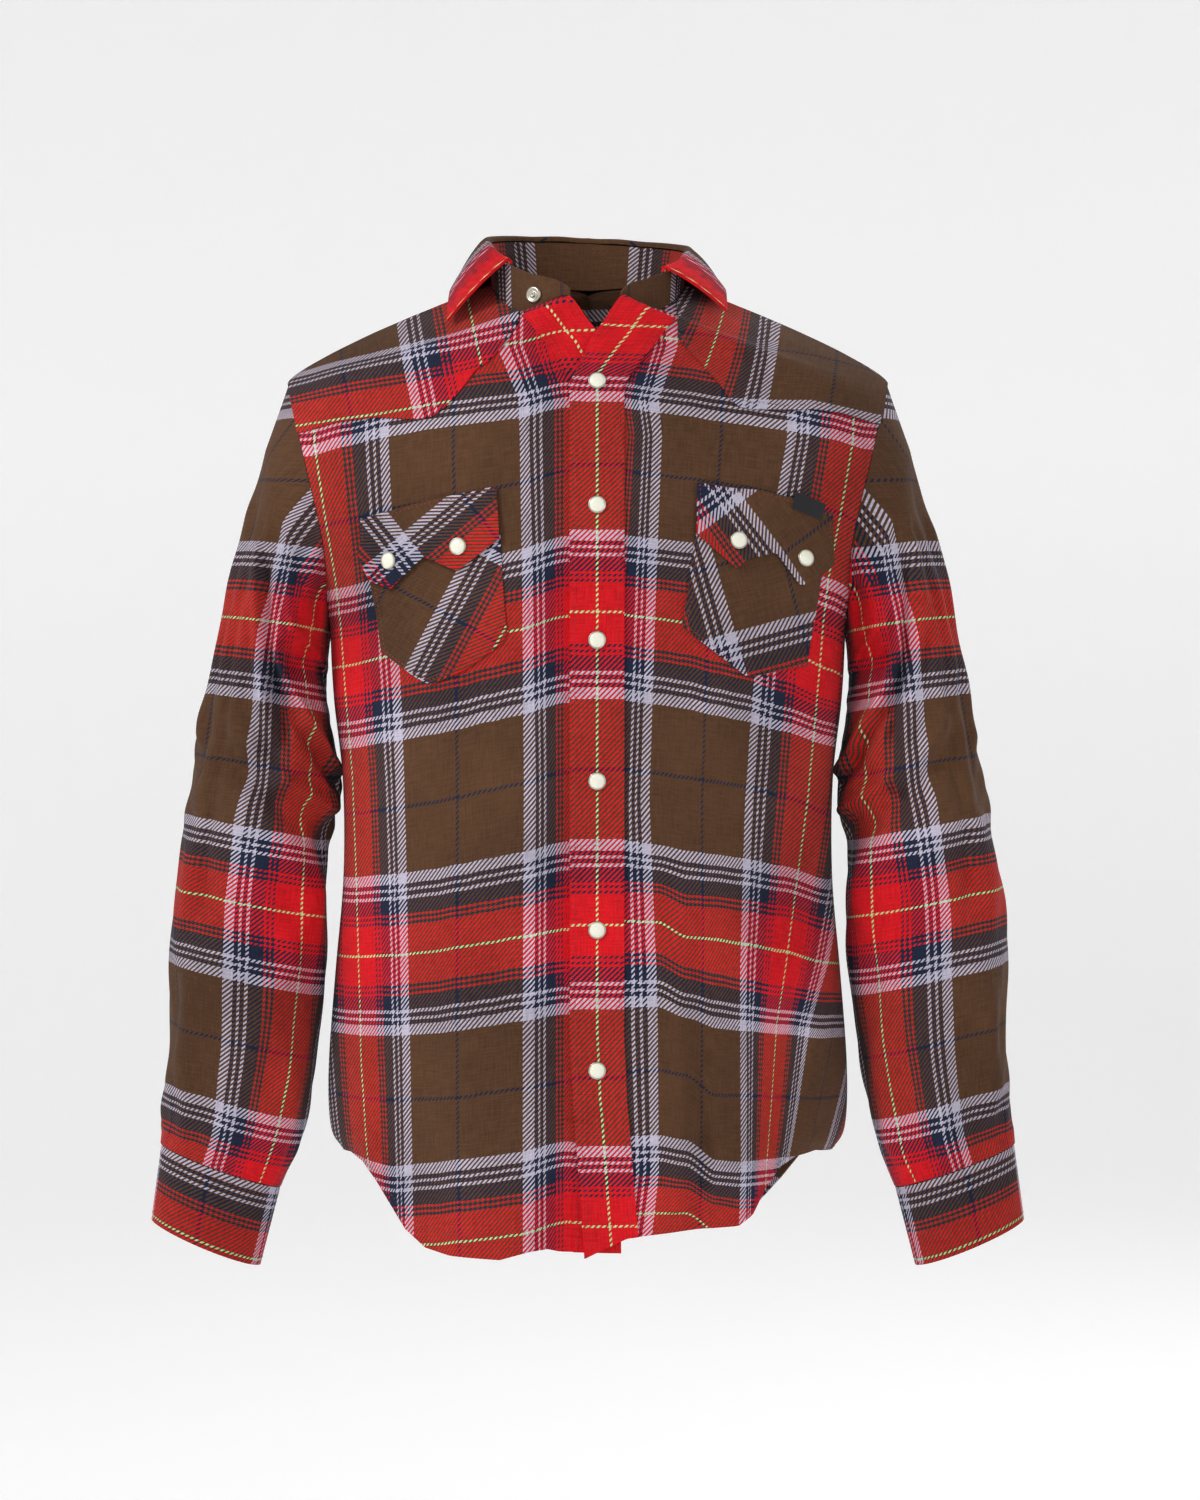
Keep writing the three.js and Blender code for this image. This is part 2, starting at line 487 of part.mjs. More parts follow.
const frontRight = makeHalf({
  rows: FRONT_ROWS, side: RIGHT, hem: HEM_RIGHT, edge: EDGE_RIGHT, folds: FOLDS_RIGHT, band: UNDER_BAND, seam: SEAM,
});
const frontLeft = makeHalf({
  rows: FRONT_ROWS, side: LEFT, hem: HEM_LEFT, edge: EDGE_LEFT, folds: FOLDS_LEFT, band: BAND, seam: SEAM,
});
const backHalves = [RIGHT, LEFT].map((side) =>
  makeHalf({ rows: BACK_ROWS, side, hem: HEM_BACK, folds: FOLDS_BACK, seam: SEAM }),
);
for (const { grid, normals } of backHalves) {
  // The halves share their centre column, so the normals there lie in the centre plane.
  grid.forEach((line, i) => {
    if (Math.abs(line[0].x) > 1e-6) return;
    line[0].x = 0;
    normals[i][0].setX(0).normalize();
  });
}

function joinedHalves(make) {
  const [right, left] = backHalves.map((half) => toSolid(make(half)));
  return toGeometry(right.add(left));
}

// A sleeve: rings that start on the armhole's own points and pass through the table.
function sleeveGrid(side) {
  const front = side === RIGHT ? frontRight : frontLeft;
  const back = side === RIGHT ? backHalves[0] : backHalves[1];
  const pick = (panel, list) => SLEEVE_LEVELS.map((row) => {
    const line = list[LEVELS.indexOf(row)];
    return line[line.length - 1];
  });
  const loop = [...pick(front, front.grid), ...pick(back, back.grid).reverse().slice(1, -1)];
  const loopNormals = [...pick(front, front.normals), ...pick(back, back.normals).reverse().slice(1, -1)];
  const turns = loopTurns(loop);
  const first = loop.map((p) => p.clone().add(new THREE.Vector3(side * SEAM, 0, 0)));
  const rings = [first];
  const count = Math.round((SLEEVE_ROWS.length - 1) * SLEEVE_STEPS);
  for (let k = 0; k <= count; k += 1) {
    const row = (k * (SLEEVE_ROWS.length - 1)) / count;
    rings.push(turns.map((turn) => sleevePoint(side, row, turn)));
  }
  const normals = gridNormals(rings, true, -side);
  normals[0].forEach((n, j) => {
    const own = (1 - Math.cos(turns[j])) / 2;
    n.multiplyScalar(own).addScaledVector(loopNormals[j], 1 - own).normalize();
  });
  return { grid: rings, normals, turns };
}

// Turns of the armhole's points by their share of its length: the underarm is half a
// turn, the shoulder 0, the front a quarter.
function loopTurns(loop) {
  const top = SLEEVE_LEVELS.length - 1;
  const lengths = loop.map((p, i) => (i ? p.distanceTo(loop[i - 1]) : 0));
  const frontLength = lengths.slice(1, top + 1).reduce((a, b) => a + b, 0);
  const backLength = lengths.slice(top + 1).reduce((a, b) => a + b, 0) + loop[0].distanceTo(loop[loop.length - 1]);
  let run = 0;
  return loop.map((_, i) => {
    run += lengths[i];
    if (i <= top) return Math.PI * (1 - run / frontLength);
    return -Math.PI * ((run - frontLength) / backLength);
  });
}

function sleevePoint(side, row, turn) {
  const value = (column) => along(SLEEVE_ROWS, column, row);
  const centreX = (value('outX') + value('inX')) / 2;
  const centreZ = (value('outZ') + value('inZ')) / 2;
  const halfX = (value('outX') - value('inX')) / 2;
  const halfZ = (value('outZ') - value('inZ')) / 2;
  const degrees = ((turn * 180) / Math.PI + 360) % 360;
  let swell = 0;
  for (const f of SLEEVE_FOLDS) {
    swell += foldHeight(degrees, row * 20, f.turn1, f.row1 * 20, f.turn2, f.row2 * 20, f.width, f.height);
  }
  swell *= smooth(row / 1.5) * smooth(SLEEVE_ROWS.length - 1 - row);
  const radius = Math.hypot(halfX, halfZ);
  const grow = 1 + swell / radius;
  return new THREE.Vector3(
    side * (centreX + Math.cos(turn) * halfX * grow),
    value('y') - Math.sin(turn) * value('depth') * grow,
    centreZ + Math.cos(turn) * halfZ * grow,
  );
}

// The cuff's surface: an ellipse that tapers from the seam down. The lap rises by
// one wall and gap over the last part of its turn, so the outer end lies on the inner one.
function cuffGrid(side) {
  const total = 360 + CUFF.overlap;
  const lines = [];
  for (let i = 0; i <= 3; i += 1) {
    const f = i / 3;
    const mix = (a, b) => a + (b - a) * f;
    const tilt = THREE.MathUtils.degToRad(mix(CUFF.topTilt, CUFF.bottomTilt));
    const line = [];
    for (let j = 0; j <= CUFF.steps; j += 1) {
      const degrees = CUFF.lap - (total * j) / CUFF.steps;
      const turn = THREE.MathUtils.degToRad(degrees);
      const out = (STIFF + 2 * GAP) * (1 - smooth((total * j) / CUFF.steps / (2 * CUFF.overlap) - 0.45));
      const halfX = mix(CUFF.topHalf, CUFF.bottomHalf) + out;
      const halfY = CUFF.depth + out;
      const x = mix(CUFF.topX, CUFF.bottomX) + Math.cos(turn) * halfX * Math.cos(tilt);
      const z = mix(CUFF.topZ, CUFF.bottomZ) + Math.cos(turn) * halfX * Math.sin(tilt);
      line.push(new THREE.Vector3(side * x, CUFF.y - Math.sin(turn) * halfY, z - SEAM));
    }
    lines.push(line);
  }
  const normals = gridNormals(lines, false, -side);
  return { grid: lines, normals };
}

// Neck points from a front end round to the centre back, for one side.
function neckLine(front, back) {
  const inner = (panel, row) => panel.grid[LEVELS.indexOf(row)][0].clone();
  const points = NECK_LEVELS.map((row) => inner(front, row));
  for (const row of [...NECK_LEVELS].reverse().slice(1)) points.push(inner(back, row));
  return points;
}

// The whole neck from the right front end round the back to the left one, with each
// point's outward direction in plan and its place in the collar's table.
function neckStations() {
  const right = neckLine(frontRight, backHalves[0]);
  const left = neckLine(frontLeft, backHalves[1]);
  const last = right.length - 1;
  const points = [...right, ...left.reverse().slice(1)];
  return points.map((p, i) => {
    const before = points[Math.max(i - 1, 0)];
    const after = points[Math.min(i + 1, points.length - 1)];
    const way = after.clone().sub(before);
    const out = new THREE.Vector3(-way.y, way.x, 0).normalize();
    return { p, out, side: i <= last ? RIGHT : LEFT, place: i <= last ? i : 2 * last - i };
  });
}

// The stand's top, a little lower on the wearer's left.
const standTop = ({ p, out, place }) =>
  p.clone().addScaledVector(out, along(COLLAR_ROWS, 'out', place / 2))
    .add(new THREE.Vector3(0, 0, along(COLLAR_ROWS, 'up', place / 2) - COLLAR_TILT * p.x));

function standGrid(stations) {
  const lines = [0, 0.5, 1].map((f) =>
    stations.map((station) => {
      const base = station.p.clone().addScaledVector(station.out, -SEAM);
      base.z += SEAM + GAP;
      return base.lerp(standTop(station), f);
    }),
  );
  const normals = lines.map((line) => line.map((_, j) => stations[j].out));
  return { grid: lines, normals };
}

// The leaf: from the stand's top it rolls over and falls outside to its edge.
function leafGrid(stations, under) {
  const used = stations.filter(({ place }) => place >= LEAF_START);
  const roll = LEAF_ROLL.map(({ out, up }) =>
    used.map((station) => {
      const q = standTop(station).addScaledVector(station.out, out);
      q.z += up;
      return q;
    }),
  );
  const edge = used.map(({ side, place }) => {
    const x = side * Math.max(along(COLLAR_ROWS, 'edgeX', place / 2), OFF_CENTRE);
    const y = along(COLLAR_ROWS, 'edgeY', place / 2);
    const hit = firstHit(under, new THREE.Vector3(x, y, 300), new THREE.Vector3(0, 0, -1));
    return hit.point.addScaledVector(hit.normal, LEAF_CLEAR);
  });
  const fall = [];
  for (let i = 1; i <= LEAF_FALL; i += 1) {
    const f = i / LEAF_FALL;
    fall.push(used.map(({ out }, j) => {
      const q = roll[roll.length - 1][j].clone().lerp(edge[j], f);
      return q.addScaledVector(out, 3 * f * (1 - f)).add(new THREE.Vector3(0, 0, 8 * f * (1 - f)));
    }));
  }
  const lines = [...roll, ...fall];
  return { grid: lines, normals: gridNormals(lines, false, 1) };
}

// Where a ray first meets any of the meshes, with that face's outward normal.
function firstHit(meshes, from, way) {
  const ray = new THREE.Raycaster(from, way);
  const [hit] = ray.intersectObjects(meshes, false);
  return { point: hit.point.clone(), normal: hit.face.normal.clone() };
}

// A snap turned about its axis, seated on the face that the ray meets.
function snapOn(meshes, from, way, profile) {
  const { point, normal } = firstHit(meshes, from, way);
  const geometry = new THREE.LatheGeometry(profile.map(([r, h]) => new THREE.Vector2(r, h)), SNAP_SIDES);
  geometry.applyQuaternion(new THREE.Quaternion().setFromUnitVectors(new THREE.Vector3(0, 1, 0), normal));
  const seat = point.addScaledVector(normal, SNAP_SEAT);
  geometry.translate(seat.x, seat.y, seat.z);
  return geometry;
}

const FROM_FRONT = new THREE.Vector3(0, 1, 0);
const frontSnap = (meshes, x, z, profile) => snapOn(meshes, new THREE.Vector3(x, -400, z), FROM_FRONT, profile);

// The band along a sleeve's vent, from the cuff up, made of the sleeve's own points.
function sleeveBand({ grid, normals, turns }) {
  const lap = THREE.MathUtils.degToRad(CUFF.lap - 360);
  const middle = turns.reduce((best, turn, j) => (Math.abs(turn - lap) < Math.abs(turns[best] - lap) ? j : best), 0);
  const part = (list) => list.slice(-VENT_RINGS).map((line) => line.slice(middle - 1, middle + 2));
  return slab({ grid: part(grid), normals: part(normals) }, GAP, LAYER);
}

const material = (color, roughness, metalness = 0) => new THREE.MeshStandardMaterial({ color, roughness, metalness });
const FLANNEL = material('#8a3a34', 0.92);
const FLANNEL_TOP = material('#a33a38', 0.92);
const PEARL = material('#efefdd', 0.25);
const STEEL = material('#b9b4a8', 0.35, 0.9);
const TAB = material('#15151a', 0.85);

const shirt = new THREE.Group();
function add(name, geometry, finish) {
  const mesh = new THREE.Mesh(geometry, finish);
  mesh.name = name;
  shirt.add(mesh);
  return mesh;
}

// Panels
const panels = {
  [RIGHT]: add('front_right', slab(frontRight, -CLOTH, CLOTH), FLANNEL),
  [LEFT]: add('front_left', slab(frontLeft, -CLOTH, CLOTH), FLANNEL),
};
add('back', joinedHalves((half) => slab(half, -CLOTH, CLOTH)), FLANNEL);

// Bands, yokes, pockets and flaps, each on the layer below it
const ON_PANEL = GAP;
const ON_POCKET = 2 * GAP + LAYER;
const ON_FLAP = 3 * GAP + 2 * LAYER;
const placket = add('placket_band', bandOn(frontLeft, ON_PANEL, LAYER), FLANNEL_TOP);
add('under_band', bandOn(frontRight, ON_PANEL, LAYER), FLANNEL_TOP);
const yokes = [
  add('yoke_front_right', onPanel(frontRight, YOKE_RIGHT, ON_PANEL), FLANNEL_TOP),
  add('yoke_front_left', onPanel(frontLeft, YOKE_LEFT, ON_PANEL), FLANNEL_TOP),
  add('yoke_back', joinedHalves((half) => backYokeHalf(half)), FLANNEL_TOP),
];
add('pocket_right', onPanel(frontRight, POCKET_RIGHT, ON_PANEL), FLANNEL_TOP);
add('pocket_left', onPanel(frontLeft, POCKET_LEFT, ON_PANEL), FLANNEL_TOP);
const flaps = {
  [RIGHT]: add('flap_right', onPanel(frontRight, FLAP_RIGHT, ON_POCKET), FLANNEL),
  [LEFT]: add('flap_left', onPanel(frontLeft, FLAP_LEFT, ON_POCKET), FLANNEL),
};
add('label_tab', onPanel(frontLeft, LABEL, ON_FLAP, 1), TAB);

function backYokeHalf(half) {
  const outline = YOKE_BACK.map(([x, z]) => [half.half.side * x, z]);
  return onPanel(half, outline, ON_PANEL);
}

// Collar
const stations = neckStations();
const stand = standGrid(stations);
const standMesh = add(
  'collar_stand', wall(stand.grid, moved(stand.grid, stand.normals, -STIFF), false), FLANNEL_TOP,
);
const leaf = leafGrid(stations, [...yokes, ...Object.values(panels)]);
add('collar_leaf', wall(moved(leaf.grid, leaf.normals, 1), moved(leaf.grid, leaf.normals, -1), false), FLANNEL_TOP);

// Sleeves and cuffs
for (const [side, word] of [[RIGHT, 'right'], [LEFT, 'left']]) {
  const sleeve = sleeveGrid(side);
  add(`sleeve_${word}`, wall(sleeve.grid, moved(sleeve.grid, sleeve.normals, -CLOTH), true), FLANNEL);
  add(`sleeve_band_${word}`, sleeveBand(sleeve), FLANNEL_TOP);
  const cuff = cuffGrid(side);
  const cuffMesh = add(
    `cuff_${word}`, wall(cuff.grid, moved(cuff.grid, cuff.normals, -STIFF), false), FLANNEL_TOP,
  );
  const turn = THREE.MathUtils.degToRad(CUFF.lap - CUFF.overlap / 2);
  const way = new THREE.Vector3(side * Math.cos(turn), -Math.sin(turn), 0);
  const middle = new THREE.Vector3(side * (CUFF.topX + CUFF.bottomX) / 2, CUFF.y, CUFF.topZ - CUFF_SNAP_DROP);
  const from = middle.addScaledVector(way, 150);
  add(`snap_cuff_${word}`, snapOn([cuffMesh], from, way.clone().negate(), SNAP_CAP), PEARL);
}

// Snaps on the front
SNAP_HEIGHTS.forEach((z, i) => add(`snap_front_${i + 1}`, frontSnap([placket], PLACKET_X, z, SNAP_CAP), PEARL));
add('snap_collar', frontSnap([standMesh], COLLAR_SNAP.x, COLLAR_SNAP.z, SNAP_RING), STEEL);
for (const side of [RIGHT, LEFT]) {
  const word = side === RIGHT ? 'right' : 'left';
  FLAP_SNAPS.filter((snap) => snap.side === side).forEach(({ x, z }, i) =>
    add(`snap_flap_${word}_${i + 1}`, frontSnap([flaps[side]], x, z, SNAP_CAP), PEARL),
  );
}

export default shirt;
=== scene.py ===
"""Looks of a western snap shirt in brushed plaid flannel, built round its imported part.

Lengths are in millimetres in the tables and surfaces, and become metres when a mesh is
made. Left and right are the wearer's: the wearer's right is at -X, the front faces -Y.
"""

import logging
import math
from dataclasses import dataclass, field
from enum import Enum
from typing import Callable, Sequence

import bmesh
import bpy
import numpy as np
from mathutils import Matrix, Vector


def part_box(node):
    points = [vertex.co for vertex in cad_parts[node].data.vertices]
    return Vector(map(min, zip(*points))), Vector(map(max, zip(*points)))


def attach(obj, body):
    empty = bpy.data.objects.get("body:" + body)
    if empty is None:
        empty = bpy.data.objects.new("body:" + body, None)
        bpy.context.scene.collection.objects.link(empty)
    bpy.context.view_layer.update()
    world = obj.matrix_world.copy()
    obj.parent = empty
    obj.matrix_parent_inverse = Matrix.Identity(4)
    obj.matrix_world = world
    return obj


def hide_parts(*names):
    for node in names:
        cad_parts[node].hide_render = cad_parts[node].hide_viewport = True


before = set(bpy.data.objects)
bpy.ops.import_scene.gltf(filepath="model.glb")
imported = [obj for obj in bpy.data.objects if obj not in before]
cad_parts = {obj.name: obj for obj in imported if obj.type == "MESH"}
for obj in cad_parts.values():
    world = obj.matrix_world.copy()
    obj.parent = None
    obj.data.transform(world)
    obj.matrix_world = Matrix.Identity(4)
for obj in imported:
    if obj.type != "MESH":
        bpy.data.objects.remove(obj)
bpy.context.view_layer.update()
LOG = logging.getLogger("shirt")

Array = np.ndarray
MM = 0.001
RIGHT, LEFT = -1, 1
SIDES = ((RIGHT, "right"), (LEFT, "left"))
UV_NAME = "plaid_mm"

# Cloth and gaps, as the solids have them
CLOTH, LAYER, GAP, SEAM, STIFF = 1.4, 1.2, 0.3, 0.4, 2.0
PLACKET_X, BAND, UNDER_BAND, UNDERLAP = 7.0, 38.0, 34.0, 15.0
SINK, SINK_EASE = 4.8, 26.0
NECK_V_ROW, NECK_ROW, TOP_ROW, UNDERARM_ROW = 12, 13, 16, 7

# Half a repeat of the plaid, from the middle of a brown block to a green line
HALF_REPEAT = 107.6


class Held(Enum):
    """How a sheet of cloth is held."""

    HUNG = "hung"
    FOLDED = "folded"
    LAID = "laid"


@dataclass(frozen=True)
class Table:
    """A short table of numbers with named columns."""

    columns: tuple[str, ...]
    rows: tuple[tuple[float, ...], ...]

    def column(self, name: str) -> Array:
        """Return one column as an array."""
        return np.array([row[self.columns.index(name)] for row in self.rows], float)

    def along(self, name: str, place: Array) -> Array:
        """Run smoothly through evenly spaced rows.

        Each stretch is a cubic whose slope at a row is half the step between its
        neighbours, and at an end row the step itself.

        Args:
            name: The column.
            place: Places between the rows, 0 at the first.

        Returns:
            The column's value at each place.
        """
        return smooth_run(self.column(name), place)

    def linear(self, key: str, name: str, place: Array) -> Array:
        """Run straight through rows whose places are in the column key."""
        return np.interp(place, self.column(key), self.column(name))


@dataclass(frozen=True)
class Fold:
    """A soft ridge, or a trough where height is below 0, from one point to the other."""

    p1: float
    q1: float
    p2: float
    q2: float
    width: float
    height: float

    def at(self, p: Array, q: Array) -> Array:
        """Height of the fold: a bell across its line that dies out past its ends.

        Args:
            p: First coordinate of the places.
            q: Second coordinate of the places.

        Returns:
            height * exp(-(distance from the line) squared / width squared).
        """
        dp, dq = self.p2 - self.p1, self.q2 - self.q1
        length = math.hypot(dp, dq)
        share = ((p - self.p1) * dp + (q - self.q1) * dq) / length**2
        past = np.maximum(0, np.maximum(-share, share - 1)) * length
        across = ((p - self.p1) * dq - (q - self.q1) * dp) / length
        return self.height * np.exp(-(across**2 + past**2) / self.width**2)


def smooth_run(values: Array, place: Array) -> Array:
    """Run smoothly through evenly spaced values, with end slopes of one step.

    Args:
        values: The values.
        place: Places between them, 0 at the first.

    Returns:
        The value at each place.
    """
    place = np.asarray(place, float)
    last = len(values) - 1
    i = np.clip(np.floor(place).astype(int), 0, last - 1)
    f = place - i
    a, b = values[i], values[i + 1]
    before, after = values[np.maximum(i - 1, 0)], values[np.minimum(i + 2, last)]
    slope_a = np.where(i > 0, (b - before) / 2, b - a)
    slope_b = np.where(i < last - 1, (after - a) / 2, b - a)
    return cubic(a, b, slope_a, slope_b, f)


def cubic(a: Array, b: Array, slope_a: Array, slope_b: Array, f: Array) -> Array:
    """Go from a to b by the cubic that leaves and arrives with the two slopes.

    Args:
        a: Start.
        b: End.
        slope_a: Slope at the start.
        slope_b: Slope at the end.
        f: Share of the way.

    Returns:
        The value at each share.
    """
    f2, f3 = f * f, f * f * f
    start = a * (2 * f3 - 3 * f2 + 1) + slope_a * (f3 - 2 * f2 + f)
    return start + b * (3 * f2 - 2 * f3) + slope_b * (f3 - f2)


def halved(low: Array, high: Array, under: Callable[[Array], Array]) -> Array:
    """Find where a test turns false between low and high, by halving the range 34 times.

    Args:
        low: Where the test is true.
        high: Where it is false.
        under: The test.

    Returns:
        The places where it turns.
    """
    for _ in range(34):
        middle = (low + high) / 2
        below = under(middle)
        low, high = np.where(below, middle, low), np.where(below, high, middle)
    return (low + high) / 2


def panel_rows(hem: int, count: int, top: float) -> Array:
    """Rows as a column: hem steps over the hem's first row, then count even ones up to top."""
    return np.concatenate([np.linspace(0, 1, hem)[:-1], np.linspace(1, top, count)])[:, None]


def ease(t: Array) -> Array:
    """Rise from 0 to 1 with level ends."""
    c = np.clip(t, 0, 1)
    return c * c * (3 - 2 * c)


def unit(vectors: Array) -> Array:
    """Scale vectors to length 1."""
    return vectors / np.maximum(np.linalg.norm(vectors, axis=-1, keepdims=True), 1e-9)


def run_length(points: Array, axis: int = 0) -> Array:
    """Length run so far along one axis of a grid: the sum of the steps' lengths.

    Args:
        points: The grid.
        axis: The axis to run along.

    Returns:
        The length at each point, 0 at the first.
    """
    steps = np.linalg.norm(np.diff(points, axis=axis), axis=-1)
    start = np.zeros_like(np.take(steps, [0], axis=axis))
    return np.concatenate([start, np.cumsum(steps, axis=axis)], axis=axis)


BODY_COLUMNS = ("inX", "inY", "inZ", "outX", "outY", "outZ", "round", "fall")
FRONT_ROWS = Table(
    BODY_COLUMNS,
    (
        (0, -110, -697, 181, 0, -637, 1, 1.4),
        (0, -116, -586, 190, 0, -620, 1, 1.4),
        (0, -119, -540, 191.5, 0, -576, 1, 1.4),
        (0, -122, -470, 186.5, 0, -506, 1, 1.4),
        (0, -125, -400, 180.6, 0, -436, 1, 1.4),
        (0, -129, -330, 181, 0, -366, 1, 1.4),
        (0, -131, -270, 187.5, 0, -306, 1, 1.4),
        (0, -131, -226, 190, 0, -262, 1, 1.4),
        (0, -129, -190, 190, -38, -230, 0.86, 1.4),
        (0, -124, -150, 191, -56, -195, 0.78, 1.4),
        (0, -116, -112, 198, -61, -160, 0.74, 1.4),
        (0, -106, -78, 206, -54, -128, 0.72, 1.35),
        (0, -95, -46, 212.5, -40, -103, 0.7, 1.3),
        (19, -82, -19, 216.5, -28, -88, 0.7, 1.2),
        (45, -66, -28, 218.5, -20, -80, 0.66, 1),
        (63, -42, -17, 219.5, -15, -76, 0.55, 0.85),
        (71, -16, -3, 220, -11, -74, 0.4, 0.78),
    ),
)
BACK_ROWS = Table(
    BODY_COLUMNS,
    (
        (0, 104, -712, 181, 0, -637, 1, 1.4),
        (0, 110, -586, 190, 0, -620, 1, 1.4),
        (0, 112, -540, 191.5, 0, -576, 1, 1.4),
        (0, 106, -470, 186.5, 0, -506, 1, 1.4),
        (0, 101, -400, 180.6, 0, -436, 1, 1.4),
        (0, 105, -330, 181, 0, -366, 1, 1.4),
        (0, 113, -270, 187.5, 0, -306, 1, 1.4),
        (0, 119, -226, 190, 0, -262, 1, 1.4),
        (0, 121, -186, 190.5, 38, -230, 0.86, 1.4),
        (0, 120, -144, 192, 60, -192, 0.78, 1.4),
        (0, 113, -102, 199, 64, -156, 0.74, 1.3),
        (0, 100, -62, 207.5, 55, -124, 0.72, 1.2),
        (0, 80, -26, 213.5, 38, -98, 0.7, 1.1),
        (0, 56, 1, 217, 22, -82, 0.7, 1),
        (42, 43, 4, 219, 8, -75, 0.6, 0.85),
        (66, 14, 2, 220, -3, -72, 0.5, 0.8),
        (71, -16, -3, 220, -11, -74, 0.4, 0.78),
    ),
)

# Shirt-tail hems: height at each distance from the centre plane
HEM_RIGHT = Table(("x", "z"), (
    (-24, -699), (20, -698), (28, -696), (41, -698), (62, -704), (98, -703), (116, -699), (131, -687),
    (143, -669), (153, -653), (163, -641), (173, -636), (181, -637),
))
HEM_LEFT = Table(("x", "z"), (
    (-6, -703), (0, -701), (28, -688), (46, -686), (66, -684), (84, -683), (108, -682), (118, -675),
    (127, -658), (138, -642), (150, -635), (165, -633), (181, -637),
))
HEM_BACK = Table(("x", "z"), (
    (0, -712), (60, -711), (100, -705), (128, -690), (146, -668), (160, -648), (172, -638), (181, -637),
))

# The front edges: distance from the centre plane towards the panel's own side
EDGE_RIGHT = Table(("row", "x"), ((0, -24), (1, -22), (11, -22), (12, -8), (13, 13)))
EDGE_LEFT = Table(("row", "x"), ((0, -2), (1, -10), (2, -12), (11, -12), (12, 6), (13, 25)))

# Folds as p = x, q = z from point to point, then width and height: those of the
# solids first, then the smaller ones
FOLDS_RIGHT = (
    Fold(158, -652, 168, -560, 16, 5),
    Fold(128, -700, 136, -600, 20, -5),
    Fold(70, -705, 84, -610, 26, 4),
    Fold(186, -262, 118, -330, 18, -4),
    Fold(150, -540, 172, -600, 9, 2),
    Fold(60, -690, 66, -560, 12, -1.6),
    Fold(176, -300, 130, -380, 10, 1.8),
    Fold(182, -330, 140, -430, 14, -2),
    Fold(110, -420, 165, -470, 15, 1.6),
    Fold(100, -560, 160, -590, 13, -1.5),
    Fold(190, -160, 150, -240, 10, 2),
    Fold(188, -238, 158, -214, 7, 3.2),
    Fold(188, -250, 146, -248, 6, -3.4),
    Fold(188, -262, 150, -280, 7, 3),
    Fold(184, -470, 120, -500, 9, -2.4),
    Fold(180, -486, 128, -522, 8, 2.2),
)
FOLDS_LEFT = (
    Fold(158, -640, 168, -550, 15, 6),
    Fold(82, -690, 84, -620, 12, -5),
    Fold(52, -535, 96, -556, 16, 4),
    Fold(186, -262, 118, -330, 18, -4),
    Fold(48, -550, 100, -568, 8, -2),
    Fold(86, -690, 90, -600, 7, 2.4),
    Fold(176, -300, 132, -390, 10, 1.8),
    Fold(184, -330, 150, -430, 14, -2),
    Fold(120, -500, 170, -540, 12, 1.8),
    Fold(150, -580, 152, -520, 10, -2),
    Fold(190, -160, 150, -240, 10, 2),
    Fold(188, -238, 158, -214, 7, 3.2),
    Fold(188, -250, 142, -246, 6, -3.6),
    Fold(188, -262, 150, -282, 7, 3.2),
    Fold(78, -480, 84, -650, 7, -3.4),
    Fold(64, -520, 70, -640, 7, 2.2),
    Fold(182, -460, 126, -486, 9, -2.4),
)
FOLDS_BACK = (
    Fold(172, -262, 110, -400, 22, -7),
    Fold(62, -712, 56, -560, 28, 6),
    Fold(20, -430, 120, -455, 26, -5),
    Fold(150, -300, 120, -500, 14, 3),
    Fold(30, -150, 34, -420, 16, -2.5),
    Fold(110, -600, 100, -700, 14, -3),
    Fold(30, -480, 110, -520, 14, 2.5),
)

# Outlines of what lies on the fronts, in the front view
YOKE_RIGHT = Table(("x", "z"), (
    (49, -37), (55, -47), (63, -57.5), (70, -66), (79, -72), (86, -82), (95, -93), (102, -100), (110, -106),
    (122, -107.5), (134, -106.5), (152, -105), (180, -107.5), (206, -113), (240, -113),
))
YOKE_LEFT = Table(("x", "z"), (
    (64.6, -48.5), (67, -52.5), (76, -62.5), (86, -74), (95, -84), (100, -92), (108, -99), (116, -100.5),
    (124, -100), (140, -101.5), (160, -98.5), (184, -100), (208, -106), (240, -108),
))
YOKE_BACK = Table(("x", "z"), (
    (0, -128), (10, -121), (34, -104), (50, -98.5), (70, -96), (95, -98.5), (120, -104), (170, -118),
    (240, -128),
))

SLEEVE_ROWS = Table(
    ("outX", "outZ", "inX", "inZ", "y", "depth"),
    (
        (238, -121, 192.2, -270, 3, 65),
        (246.5, -158, 193.2, -281, 3, 66),
        (255.5, -187, 193.8, -293, 3, 65),
        (264, -222, 193.2, -306, 3, 64),
        (272, -262, 190.8, -322, 2, 62),
        (280, -301, 186, -344, 1, 60),
        (286, -330, 183.6, -364, 0, 58),
        (290.5, -355, 183.2, -380, -1, 56),
        (295, -381, 186.2, -397, -2, 54),
        (299, -409, 190.4, -417, -3, 53),
        (306, -454, 192.5, -452, -5, 52),
        (309, -505, 192.5, -500, -8, 51),
        (308.5, -557, 197, -553, -10, 48),
        (311, -591, 204, -594, -11, 44),
        (313, -616, 213, -632, -12, 38),
        (314.4, -631.5, 225.6, -663.5, -12, 33),
    ),
)
